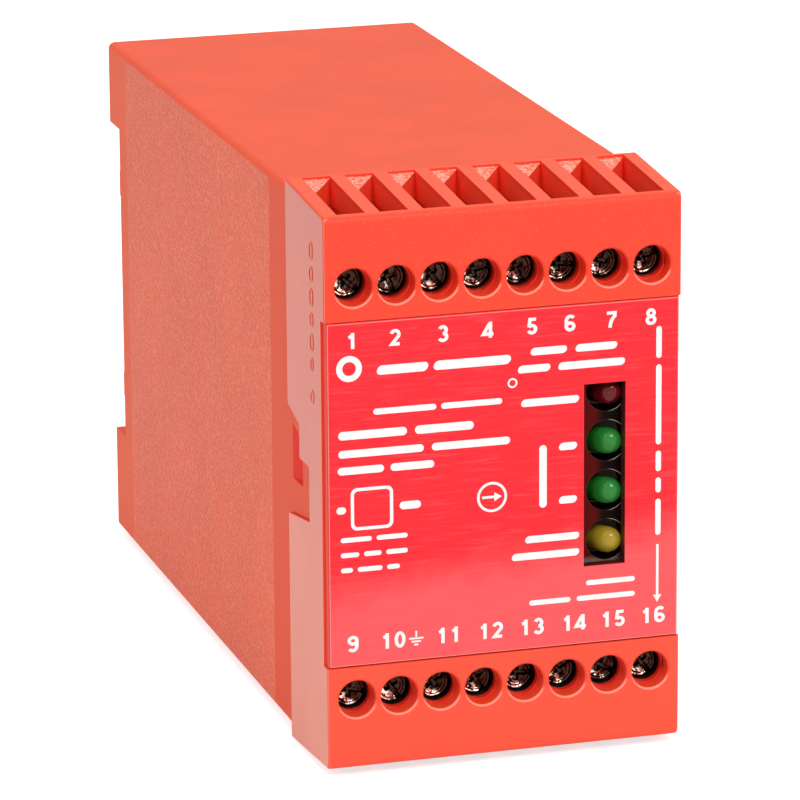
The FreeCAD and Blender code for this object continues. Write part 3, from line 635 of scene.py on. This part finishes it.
# Green solder mask over a woven laminate, with the bare amber laminate on the cut edges.
def boardLaminate():
    f = newFinish("boardLaminate", 0.32)
    flat = f.maths("MAXIMUM", f.across("x", 0.8, 0.9), f.across("y", 0.8, 0.9))
    weave = f.add("TexChecker", Vector=f.place, Scale=boardLook["weaves"])["Fac"]
    green = f.mix(f.times(weave, 0.10), f.mottled(boardLook["mask"], 0.12, 260.0), boardLook["weave"])
    f.colour(f.mix(flat, boardLook["edge"], green))
    f.bump(weave, 0.01 * mm)
    return f.material


layerLook = {
    "coreSteel": {
        "axis": "X", "roughness": 0.42, "metallic": 0.85, "perMetre": 320.0, "waver": 0.4, "depth": 0.04 * mm,
        "colour": (0.30, 0.30, 0.31), "mottle": (0.15, 200.0),
        "gap": (0.06, 0.06, 0.065), "gaps": (0.5, 0.1), "share": 0.7,
    },
    "windingCopper": {
        "axis": "Z", "roughness": 0.30, "metallic": 0.9, "perMetre": 380.0, "waver": 0.3, "depth": 0.06 * mm,
        "colour": (0.62, 0.24, 0.08), "mottle": (0.12, 300.0),
        "gap": (0.16, 0.05, 0.02), "gaps": (0.4, 0.0), "share": 0.6,
    },
}


# Sheets or enamelled wires lying side by side, seen as thin dark lines across an axis.
def layeredMetal(name):
    look = layerLook[name]
    f = newFinish(name, look["roughness"], Metallic=look["metallic"])
    bands = f.add("TexWave", {"wave_type": "BANDS", "bands_direction": look["axis"]}, Vector=f.place,
                  Scale=look["perMetre"], Distortion=look["waver"])["Fac"]
    gaps = f.times(f.ramp(bands, *look["gaps"]), look["share"])
    f.colour(f.mix(gaps, f.mottled(look["colour"], *look["mottle"]), look["gap"]))
    f.bump(bands, look["depth"])
    return f.material


canLook = {
    "sleeve": (0.018, 0.026, 0.085), "stripe": (0.55, 0.56, 0.60), "end": (0.60, 0.60, 0.60),
    "stripeFrom": (-2.2 * mm, -1.9 * mm),  # from its top
}


# Capacitor in its printed sleeve: dark blue with a pale stripe along its top, and bare ends.
def sleevedCan():
    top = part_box("smoothing_capacitor")[1].z
    f = newFinish("capacitorCan", 0.30)
    end = f.across("x", 0.8, 0.95)
    base = f.mix(f.between(f.z, top, canLook["stripeFrom"]), f.mottled(canLook["sleeve"], 0.10), canLook["stripe"])
    f.colour(f.mix(end, base, canLook["end"]))
    f.bump(f.group("scuffs", Stretch=(200.0, 1500.0, 1500.0))["Value"], 0.01 * mm)
    return f.material


blockLook = {
    # node: colour of the painted shade in its bores, depths to which it is red and from which it is dark, a screw of
    # its row
    "upper_terminal_block": ((0.022, 0.003, 0.002), (2.4 * mm, 3.9 * mm), "terminal_screw_01"),
    "lower_terminal_block": ((0.010, 0.002, 0.002), (2.9 * mm, 3.1 * mm), "terminal_screw_09"),
}
blockFront = {"colour": (0.86, 0.040, 0.015), "nearScrew": (3.4 * mm, 2.8 * mm), "grain": 3000.0, "depth": 0.03 * mm}


# Insulating block: red at its front and in its wire funnels, painted dark as shade in the bores round the screws.
def blockPlastic(name):
    deep, depths, screw = blockLook[name]
    rowZ = middleOf(*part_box(screw))[2]
    f = newFinish(name, 0.5)
    nearScrew = f.ramp(f.size(f.minus(f.z, rowZ)), *blockFront["nearScrew"])
    # darker deeper in the bores near the screws: painted shade
    boreShade = f.times(f.between(f.y, frontY, depths), nearScrew)
    f.colour(f.mix(boreShade, f.mottled(blockFront["colour"], 0.05), deep))
    f.grainBump(blockFront["grain"], blockFront["depth"])
    return f.material


lampKinds = {  # finish and slot of each lamp
    1: ("redLamp", "led_red"), 2: ("greenLamp", "led_green"),
    3: ("greenLamp", "led_green"), 4: ("yellowLamp", "led_yellow"),
}
finished = [
    (housingPlastic(), ["main_housing"]), (coverPlastic(), ["terminal_cover"]), (platePlastic(), ["front_plate"]),
    (labelFilm(), ["front_label"]), (printInk(), []), (holderPlastic(), ["led_holder"]),
    *((lampPlastic(kind), [f"status_led_{i}" for i in lampKinds if lampKinds[i][0] == kind]) for kind in lampLook),
    (screwNickel(), [f"terminal_screw_{i:02d}" for i in range(1, 17)]),
    (platedMetal("cageSteel", (0.58, 0.56, 0.53), 0.33), [f"clamp_cage_{i:02d}" for i in range(1, 17)]),
    (platedMetal("stripCopper", (0.72, 0.58, 0.42), 0.34), ["upper_contact_strips", "lower_contact_strips"]),
    (platedMetal("springSteel", (0.50, 0.50, 0.52), 0.26), ["latch_spring"]),
    *((blockPlastic(name), [name]) for name in blockLook),
    (plainMoulded("latchPlastic", (0.028, 0.027, 0.026), 0.46, 0.05 * mm, 0.15), ["rail_latch"]),
    (plainMoulded("connectorPlastic", (0.020, 0.020, 0.020), 0.42), ["board_connectors"]),
    (plainMoulded("relayCase", (0.72, 0.46, 0.09), 0.34, 0.02 * mm), ["safety_relay_1", "safety_relay_2"]),
    (plainMoulded("bobbinPlastic", (0.035, 0.034, 0.032), 0.45), ["transformer_bobbin"]),
    (plainMoulded("varistorCoat", (0.020, 0.065, 0.260), 0.22, 0.08 * mm, 0.15, 900.0), ["varistor_disc"]),
    (boardLaminate(), ["front_board", "relay_board", "power_board"]), (sleevedCan(), ["smoothing_capacitor"]),
    (layeredMetal("coreSteel"), ["transformer_core"]), (layeredMetal("windingCopper"), ["transformer_winding"]),
]
finishes = {material.name: material for material, _ in finished}
for material, nodeNames in finished:
    for nodeName in nodeNames:
        node = nodes[nodeName]
        if not node.material_slots:
            node.data.materials.append(None)
        for place in node.material_slots:
            place.material = material
print("finishes given to", sum(len(nodeNames) for _, nodeNames in finished), "nodes")


# A piece from an array of points and a list of faces, riding on a body.
def meshPiece(name, points, faces, finish, body, slotName, sharp=30.0, turned=False):
    mesh = bpy.data.meshes.new(name)
    mesh.from_pydata(np.asarray(points, float).reshape(-1, 3).tolist(), [], faces)
    mesh.validate()
    if turned:
        mesh.flip_normals()  # the grid was wound the other way round
    mesh.shade_smooth()
    mesh.set_sharp_from_angle(angle=math.radians(sharp))
    mesh.materials.append(finishes[finish])
    piece = addObject(name, mesh)
    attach(piece, body)
    return piece


# Gives a flat piece its thickness, and flat faces.
def thicken(piece, thickness, offset):
    solid = piece.modifiers.new("thickness", "SOLIDIFY")
    solid.thickness, solid.offset = thickness, offset
    piece.data.shade_flat()


# Quads over a grid of rows by columns; the last column joins the first when closed.
def gridFaces(rows, columns, closed):
    i = np.arange(rows - 1)[:, None]
    j = np.arange(columns if closed else columns - 1)[None, :]
    k = (j + 1) % columns
    quads = np.stack([i * columns + j, i * columns + k, (i + 1) * columns + k, (i + 1) * columns + j], axis=-1)
    return quads.reshape(-1, 4).tolist()


# The faces of a closed tube of rows by columns, with its two end faces.
def tubeFaces(rows, columns):
    last = (rows - 1) * columns
    return gridFaces(rows, columns, True) + [list(range(columns))[::-1], list(range(last, last + columns))]


# Several meshes, each of points and faces, joined into one.
def joinMeshes(parts):
    faces, start = [], 0
    for points, partFaces in parts:
        faces += [[corner + start for corner in face] for face in partFaces]
        start += len(points)
    return np.concatenate([points for points, _ in parts]), faces


def smoothStep(value, low, high):
    t = np.clip((value - low) / (high - low), 0.0, 1.0)
    return t * t * (3 - 2 * t)


ledShape = {
    "radius": 1.65 * mm, "length": 5.0 * mm, "segments": 48, "domeSteps": 14, "tipAngle": 0.03,
    "barrel": ((1.0, 0.55), (1.0, 0.80), (1.03, 0.83), (1.03, 0.97), (0.97, 1.0)),  # radius and depth as shares
    "leadHalf": 0.25 * mm, "leadSide": 0.9 * mm, "leadInside": 0.2 * mm, "leadSteps": (0.0, 0.12, 0.35, 1.0),
    "lean": {1: (0.24, 0.08), 2: (0.27, 0.12), 3: (0.27, 0.11), 4: (0.25, 0.12)},  # sideways and up, soldered by hand
}


# A profile of radius and depth turned about the lamp's axis: quarter circle dome, barrel, closed foot. The
# turned shape leans about its tip, each point moving back along x and z in proportion to its depth.
def statusLamp(number):
    s = ledShape
    low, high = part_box(f"status_led_{number}")
    centreX, _, centreZ = middleOf(low, high)
    angle = np.linspace(s["tipAngle"], math.pi / 2, s["domeSteps"])
    barrel = np.array(s["barrel"])
    radius = np.concatenate([s["radius"] * np.sin(angle), barrel[:, 0] * s["radius"]])
    depth = np.concatenate([s["radius"] * (1 - np.cos(angle)), s["length"] * barrel[:, 1]])
    turn = np.linspace(0, 2 * math.pi, s["segments"], endpoint=False)
    shiftX, shiftZ = [lean * (depth - s["radius"]) for lean in s["lean"][number]]
    points = np.stack([centreX - shiftX[:, None] + radius[:, None] * np.cos(turn),
                       np.repeat(low.y + depth[:, None], s["segments"], 1),
                       centreZ - shiftZ[:, None] + radius[:, None] * np.sin(turn)], axis=-1)
    finish, slotName = lampKinds[number]
    faces = tubeFaces(len(radius), s["segments"])
    lamp = meshPiece(f"lamp_{number}", points, faces, finish, "housing", slotName, turned=True)
    lampLeads(number, centreX, centreZ, low.y + s["length"], high.y, shiftX[-1], shiftZ[-1])
    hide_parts(f"status_led_{number}")


# Two wires from the lamp's foot to the board, each a square carried along a path that straightens as it
# goes back.
def lampLeads(number, centreX, centreZ, start, end, shiftX, shiftZ):
    s = ledShape
    share = np.array(s["leadSteps"])
    bent = 1 - smoothStep(share, 0.0, s["leadSteps"][2])
    square = np.array([(-1, -1), (1, -1), (1, 1), (-1, 1)]) * s["leadHalf"]
    pathY = start - s["leadInside"] + share * (end - start + s["leadInside"])
    leads = []
    for side in (-1, 1):
        pathX, pathZ = centreX + side * s["leadSide"] - shiftX * bent, centreZ - shiftZ * bent
        rows = np.stack([pathX[:, None] + square[:, 0], np.repeat(pathY[:, None], 4, 1),
                         pathZ[:, None] + square[:, 1]], axis=-1)
        leads.append((rows.reshape(-1, 3), tubeFaces(4, 4)))
    meshPiece(f"lamp_leads_{number}", *joinMeshes(leads), "cageSteel", "housing", "clamp_steel", turned=True)


for lampNumber in range(1, 5):
    statusLamp(lampNumber)
print("lamps made")


printLook = {  # lengths on the label in millimetres, across and up
    "proud": 0.012 * mm, "thickness": 0.02 * mm, "layer": 0.006 * mm, "slant": 0.22,
    "numeralSize": 2.0 * mm, "numeralPen": 0.20, "numeralStep": 0.78, "numeralWidth": 1.08, "numeralBox": 0.62,
    "topRow": (54.0, (-19.06, -13.71, -7.72, -2.08, 3.47, 8.28, 13.5, 18.6)),  # baseline, centres of 1 to 8
    "footRow": (16.1, (-19.29, -14.2, -7.14, -1.79, 3.46, 8.86, 13.9, 19.08)),  # baseline, centres of 9 to 16
    "bars": (  # middle height, thickness, slanted, then the two ends of each
        (51.1, 1.15, True, (-16.0, -9.6), (-8.9, 0.8)), (46.0, 0.75, False, (-16.5, -8.6), (-8.0, -0.3)),
        (43.3, 1.05, False, (-20.9, -12.3), (-11.3, -3.9)), (41.0, 0.95, False, (-20.9, -10.2), (-9.2, 0.7)),
        (38.9, 0.95, False, (-21.0, -15.2), (-14.4, -8.9)),
        (34.0, 0.9, False, (-21.2, -20.0)), (34.0, 1.0, False, (-13.3, -10.6)),
        (30.25, 0.6, False, (-20.7, -16.8), (-16.2, -12.3)),
        (28.35, 0.6, False, (-20.7, -18.4), (-17.8, -15.6), (-15.0, -12.3)),
        (26.45, 0.6, False, (-20.7, -19.2), (-18.6, -15.5), (-14.9, -13.3)),
        (51.8, 0.95, True, (3.3, 7.9), (9.0, 14.3)), (49.7, 0.95, True, (1.7, 5.8), (6.8, 15.3)),
        (45.45, 0.95, True, (2.1, 9.45)), (39.6, 0.95, True, (6.9, 9.2)), (32.85, 0.95, True, (6.9, 9.2)),
        (28.2, 0.9, True, (2.6, 9.5)), (26.1, 0.9, True, (0.9, 9.5)),
        (22.0, 0.65, False, (10.4, 16.7)), (20.1, 0.65, False, (3.1, 8.4), (9.2, 16.7)),
    ),
    "uprightBars": (  # middle x, thickness, then the two ends of each
        (4.87, 0.95, (32.1, 40.0)), (19.65, 0.7, (27.3, 31.9), (32.7, 34.6), (35.4, 38.0), (38.8, 48.9), (49.7, 53.7)),
    ),
    "rings": ((-19.46, 51.56, 1.6, 0.85), (1.0, 48.1, 0.62, 0.40), (-1.62, 34.04, 1.9, 1.58)),  # centre, radii
    "square": (-16.75, 34.03, (2.65, 0.8), (2.25, 0.5)),  # centre, then half side and corner outside and inside
    "arrows": ((-1.62, 34.04, 2.5, 0.0), (19.6, 22.4, 7.4, -math.pi / 2)),  # centre, length, angle from the right
    # the earth sign's middle, pen, half length and height of its bars, and the ends of its stem
    "earth": (-11.3, 0.22, ((0.95, 17.05), (0.62, 16.65), (0.28, 16.25)), (17.1, 18.0)),
}


# A bar with round ends: two half circles joined by straight sides, sheared by its height when slanted.
def barOutline(left, right, middle, thickness, slanted=False):
    r = thickness / 2
    turn = np.linspace(-math.pi / 2, math.pi / 2, 9)
    x = np.concatenate([right - r + r * np.cos(turn), left + r - r * np.cos(turn)])
    z = np.concatenate([r * np.sin(turn), -r * np.sin(turn)])
    if slanted:
        x = x + printLook["slant"] * z
    return np.stack([x, middle + z], axis=1) * mm


# One face inside an outline of across and up, in the plane of the label.
def plateMesh(outline):
    return np.insert(outline, 1, 0, axis=1), [list(range(len(outline)))]


# A closed band between two outlines of the same number of points.
def bandMesh(outer, inner):
    return np.insert(np.concatenate([outer, inner]), 1, 0, axis=1), gridFaces(2, len(outer), True)


def circleOutline(x, z, radius, segments=56):
    turn = np.linspace(0, 2 * math.pi, segments, endpoint=False)
    return np.stack([x + radius * np.cos(turn), z + radius * np.sin(turn)], axis=1) * mm


def spinMatrix(angle):
    return np.array([[math.cos(angle), math.sin(angle)], [-math.sin(angle), math.cos(angle)]])


# A square outline with a quarter circle at each corner.
def roundedSquare(x, z, half, corner, segments=8):
    turn = np.linspace(0, math.pi / 2, segments)
    quarter = np.stack([half - corner + corner * np.cos(turn), half - corner + corner * np.sin(turn)], axis=1)
    return (np.concatenate([quarter @ spinMatrix(angle) for angle in np.arange(4) * math.pi / 2]) + (x, z)) * mm


# A plain arrow: a narrow shaft that opens into a triangular head; turned is its angle from pointing right.
def arrowOutline(x, z, length, turned):
    shaft, head, wing = 0.16, 0.95, 0.55
    tip, neck = length / 2, length / 2 - head
    shape = np.array([(-tip, -shaft), (neck, -shaft), (neck, -wing), (tip, 0),
                      (neck, wing), (neck, shaft), (-tip, shaft)])
    return (shape @ spinMatrix(turned) + (x, z)) * mm


def arc(x, z, radiusX, radiusZ, start, end, steps=14):
    turn = np.radians(np.linspace(start, end, steps))
    return np.stack([x + radiusX * np.cos(turn), z + radiusZ * np.sin(turn)], axis=1)


# each numeral is one or more pen paths in a box one unit high, which lie on each other in thin layers
numeralPaths = {
    "0": [arc(0.31, 0.5, 0.22, 0.42, 90, 450, 33)],
    "1": [[(0.11, 0.71), (0.22, 0.75), (0.29, 0.84)], [(0.34, 0.98), (0.34, 0.0)]],
    "2": [[*arc(0.31, 0.68, 0.22, 0.24, 165, -25), (0.12, 0.09), (0.57, 0.09)]],
    "3": [arc(0.30, 0.70, 0.19, 0.22, 155, -90), arc(0.30, 0.29, 0.22, 0.22, 90, -155)],
    "4": [[(0.62, 0.23), (0.04, 0.23), (0.40, 0.88)], [(0.45, 0.98), (0.45, 0.0)]],
    "5": [[(0.54, 0.92), (0.19, 0.92), (0.13, 0.44)], arc(0.30, 0.31, 0.22, 0.23, 140, -155)],
    "6": [[*arc(0.33, 0.62, 0.24, 0.30, 40, 180, 12), (0.09, 0.30)], arc(0.31, 0.29, 0.22, 0.21, 180, 540, 29)],
    "7": [[(0.06, 0.92), (0.54, 0.92), *arc(0.80, 0.0, 0.55, 0.82, 120, 180, 8)]],
    "8": [arc(0.31, 0.71, 0.18, 0.20, -90, 270, 29), arc(0.31, 0.28, 0.22, 0.22, 90, 450, 29)],
    "9": [[*arc(0.29, 0.38, 0.24, 0.30, 220, 360, 12), (0.53, 0.70)], arc(0.31, 0.71, 0.22, 0.21, 0, 360, 29)],
}


# A flat band along a path: each point is set off to both sides along the mean normal of the runs that meet
# there, longer by one over the cosine of half the turn. A closed path meets itself.
def penBand(path, width):
    path = np.array(path)
    runs = np.diff(path, axis=0)
    runs = runs / np.linalg.norm(runs, axis=1, keepdims=True)
    closed = bool(np.allclose(path[0], path[-1]))
    before = np.vstack([runs[-1:] if closed else runs[:1], runs])
    after = np.vstack([runs, runs[:1] if closed else runs[-1:]])
    normal = np.stack([-(before + after)[:, 1], (before + after)[:, 0]], axis=1)
    normal /= np.linalg.norm(normal, axis=1, keepdims=True)
    stretch = 1 / np.clip(np.sum(normal * np.stack([-after[:, 1], after[:, 0]], axis=1), axis=1), 0.45, 1)
    offset = normal * (stretch * width / 2)[:, None]
    count = len(path) - 1 if closed else len(path)
    return np.concatenate([(path + offset)[:count], (path - offset)[:count]]), gridFaces(2, count, closed)


# A row of pen-stroke numerals centred on x with its foot at z, as meshes of across, forward and up.
def numeralMeshes(text, x, z):
    look = printLook
    size, step = look["numeralSize"], look["numeralStep"]
    left = -(len(text) * step - (step - look["numeralBox"])) / 2
    for place, figure in enumerate(text):
        for layer, path in enumerate(numeralPaths[figure]):
            band, quads = penBand(path, look["numeralPen"])
            flat = (band + (left + place * step, 0)) * size * (look["numeralWidth"], 1) + (x * mm, z * mm)
            yield np.insert(flat, 1, layer * look["layer"], axis=1), quads


def makeLabelPrint():
    look = printLook
    parts = []
    for middle, thickness, slanted, *bars in look["bars"]:
        parts += [plateMesh(barOutline(*ends, middle, thickness, slanted)) for ends in bars]
    for x, thickness, *bars in look["uprightBars"]:
        for ends in bars:
            lying = barOutline(*ends, 0, thickness)
            parts.append(plateMesh(np.stack([x * mm - lying[:, 1], lying[:, 0]], axis=1)))
    for x, z, outer, inner in look["rings"]:
        parts.append(bandMesh(circleOutline(x, z, outer), circleOutline(x, z, inner)))
    x, z, outer, inner = look["square"]
    parts.append(bandMesh(roundedSquare(x, z, *outer), roundedSquare(x, z, *inner)))
    parts += [plateMesh(arrowOutline(*arrow)) for arrow in look["arrows"]]
    x, pen, bars, (foot, top) = look["earth"]
    parts += [plateMesh(barOutline(x - half, x + half, height, pen)) for half, height in bars]
    left, right = x - pen / 2, x + pen / 2
    parts.append(plateMesh(np.array([(left, foot), (right, foot), (right, top), (left, top)]) * mm))
    for first, (z, centres) in ((1, look["topRow"]), (9, look["footRow"])):
        for number, x in enumerate(centres, first):
            parts.append(joinMeshes(list(numeralMeshes(str(number), x, z))))
    points, faces = joinMeshes(parts)
    points[:, 1] = labelLow.y - look["proud"] - points[:, 1]
    thicken(meshPiece("label_print", points, faces, "printInk", "housing", "label_film"), look["thickness"], -1.0)


makeLabelPrint()
print("label print made")


markLook = {
    "behindFront": 5.6, "thickness": 0.05 * mm, "sunk": 0.01 * mm, "line": 0.22,
    "bars": (  # low end, high end and width of each
        (63.9, 66.1, 1.5), (61.2, 63.1, 1.5), (58.2, 60.4, 1.5),
        (55.6, 57.4, 1.5), (52.6, 54.8, 1.5), (50.1, 51.8, 1.2),
    ),
    "ring": (46.9, 0.85, 0.55),  # height, outer and inner radius
}


# The mould's own marks on the left cheek: thin raised bars and a ring, flat against x until they are
# given their thickness.
def makeCheekMarks():
    look = markLook
    along, line = frontY / mm + look["behindFront"], look["line"]
    parts = []
    for low, high, width in look["bars"]:
        outer, inner = barOutline(low, high, 0, width), barOutline(low + line, high - line, 0, width - 2 * line)
        parts.append(bandMesh(outer[:, ::-1] + (along * mm, 0), inner[:, ::-1] + (along * mm, 0)))
    height, outerRadius, innerRadius = look["ring"]
    parts.append(bandMesh(circleOutline(along, height, outerRadius), circleOutline(along, height, innerRadius)))
    points, faces = joinMeshes(parts)
    points[:, 1] = coverLow.x - look["thickness"] + look["sunk"]
    piece = meshPiece("cheek_marks", points[:, [1, 0, 2]], faces, "coverPlastic", "housing", "cover_plastic")
    thicken(piece, look["thickness"], 0.0)


makeCheekMarks()
print("cheek marks made")


screwShape = {
    "headRadius": 1.95 * mm, "headHeight": 1.5 * mm, "chamfer": 0.12 * mm,
    "dish": 0.24 * mm, "dishFrom": 1.36 * mm, "dishTo": 1.76 * mm, "slotWidth": 0.62 * mm, "slotDepth": 0.62 * mm,
    "crossReach": 1.02 * mm, "crossWidth": 0.50 * mm, "crossDepth": 1.05 * mm, "wall": 0.07 * mm,
    "crossRise": 0.35, "rimFall": 0.9,  # the cross's loss of depth at its reach, the chamfer's slope
    "shankRadius": 1.45 * mm, "pitch": 0.5 * mm, "threadDepth": 0.22 * mm, "threadGap": 0.15 * mm,
    "headEdge": 0.1 * mm, "tip": 0.3 * mm, "tipTaper": 1.2 * mm, "tipInset": 0.5 * mm,
    "gridLines": 61, "rowsPerTurn": 6, "seed": 21,
}


# The head's face on a square grid pressed into a disc: each coordinate times the root of one less half the
# other squared. Its depth is the deepest of a flat dish that rises to a low rim, a slot across it and a cross
# that gets shallower outwards.
def headTop():
    s = screwShape
    u = np.linspace(-1, 1, s["gridLines"])
    a, b = np.meshgrid(u, u, indexing="ij")
    x = a * np.sqrt(1 - b * b / 2) * s["headRadius"]
    z = b * np.sqrt(1 - a * a / 2) * s["headRadius"]
    r = np.hypot(x, z)

    def walled(distance, width):
        return 1 - smoothStep(distance, width / 2 - s["wall"], width / 2 + s["wall"])

    slot = s["slotDepth"] * walled(np.abs(z), s["slotWidth"])
    arms = walled(np.minimum(np.abs(x), np.abs(z)), s["crossWidth"])
    cross = s["crossDepth"] * (1 - s["crossRise"] * r / s["crossReach"]) * arms
    cross = cross * (1 - smoothStep(r, s["crossReach"] - 2 * s["wall"], s["crossReach"]))
    rim = np.clip(r - (s["headRadius"] - s["chamfer"]), 0, None)
    dish = s["dish"] * (1 - smoothStep(r, s["dishFrom"], s["dishTo"]))
    return np.stack([x, np.maximum(dish, np.maximum(slot, cross)) + rim * s["rimFall"], z], axis=-1)


# The whole screw about the y axis, from its face backwards: the face, then rings for the head's side, its
# seat and the thread. The thread's radius falls and rises linearly with the part of a turn left over from
# height over pitch less angle.
def screwMesh(length):
    s = screwShape
    top = headTop().reshape(-1, 3)
    n = s["gridLines"]
    index = np.arange(n * n).reshape(n, n)
    faces = np.stack([index[:-1, :-1], index[1:, :-1], index[1:, 1:], index[:-1, 1:]], axis=-1).reshape(-1, 4).tolist()
    border = np.concatenate([index[:-1, 0], index[-1, :-1], index[:0:-1, -1], index[0, :0:-1]])
    angle = np.arctan2(top[border, 2], top[border, 0])
    threadStart, threadEnd = s["headHeight"] + s["threadGap"], length - s["tip"]
    rows = int((length - threadStart) / s["pitch"] * s["rowsPerTurn"])
    height = np.linspace(threadStart, threadEnd, rows)
    phase = (height[:, None] / s["pitch"] - angle[None, :] / (2 * math.pi)) % 1.0
    fade = smoothStep(height, length - s["tipTaper"], threadEnd)[:, None]
    radius = s["shankRadius"] - s["threadDepth"] * (np.abs(phase * 2 - 1) * (1 - fade) + fade)
    edge = s["headEdge"]
    rings = [(s["headRadius"], s["headHeight"] - edge), (s["headRadius"] - edge, s["headHeight"]),
             (s["shankRadius"] - s["threadDepth"], s["headHeight"])]
    levels = [*rings, *zip(radius, height), (s["shankRadius"] - s["tipInset"], length)]
    points = [np.stack([r * np.cos(angle), np.full(len(angle), y), r * np.sin(angle)], axis=-1) for r, y in levels]
    previous, total = border, n * n
    for _ in levels:
        current = total + np.arange(len(angle))
        faces.extend(np.stack([previous, np.roll(previous, -1), np.roll(current, -1), current], axis=-1).tolist())
        previous, total = current, total + len(angle)
    faces.append(previous.tolist())
    return np.concatenate([top, *points]), faces


def placeScrews():
    low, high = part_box("terminal_screw_01")
    points, faces = screwMesh(high.y - low.y)
    angles = np.random.default_rng(screwShape["seed"]).uniform(0, math.pi, 16)
    for number, spin in enumerate(angles, 1):
        low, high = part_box(f"terminal_screw_{number:02d}")
        centreX, _, centreZ = middleOf(low, high)
        c, q = math.cos(spin), math.sin(spin)
        placed = points @ np.array([[c, 0, q], [0, 1, 0], [-q, 0, c]]) + (centreX, low.y, centreZ)
        piece = meshPiece(f"clamp_screw_{number:02d}", placed, faces, "screwNickel", f"screw_{number:02d}",
                          "screw_nickel", sharp=25.0, turned=True)
        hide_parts(f"terminal_screw_{number:02d}")


placeScrews()
print("screws made")


springShape = {"turns": 4.0, "wire": 0.42 * mm, "segments": 12, "stepsPerTurn": 36, "deadTurns": 0.75, "deadRise": 0.35}


# A round wire carried along a helix about z, whose rise per turn is small at its ends and open between them.
def makeLatchSpring():
    s = springShape
    low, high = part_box("latch_spring")
    axisX, axisY, _ = middleOf(low, high)
    coil = (high.x - low.x) / 2 - s["wire"] / 2
    turns = np.linspace(0, s["turns"], int(s["turns"] * s["stepsPerTurn"]) + 1)
    opening = smoothStep(turns, 0.0, s["deadTurns"]) * smoothStep(s["turns"] - turns, 0.0, s["deadTurns"])
    rise = s["wire"] * s["deadRise"] + opening
    climb = np.concatenate([[0], np.cumsum((rise[1:] + rise[:-1]) / 2)])
    height = low.z + s["wire"] / 2 + climb / climb[-1] * (high.z - low.z - s["wire"])
    angle = turns * 2 * math.pi
    path = np.stack([axisX + coil * np.cos(angle), axisY + coil * np.sin(angle), height], axis=-1)
    along = np.gradient(path, axis=0)
    along /= np.linalg.norm(along, axis=1, keepdims=True)
    outward = np.stack([np.cos(angle), np.sin(angle), np.zeros_like(angle)], axis=-1)
    across = np.cross(along, outward)
    around = np.linspace(0, 2 * math.pi, s["segments"], endpoint=False)[None, :, None]
    points = path[:, None] + s["wire"] / 2 * (np.cos(around) * outward[:, None] + np.sin(around) * across[:, None])
    faces = tubeFaces(len(path), s["segments"])
    piece = meshPiece("latch_coil", points, faces, "springSteel", "housing", "spring_steel")
    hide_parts("latch_spring")
    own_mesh(piece)


makeLatchSpring()
print("latch spring made")
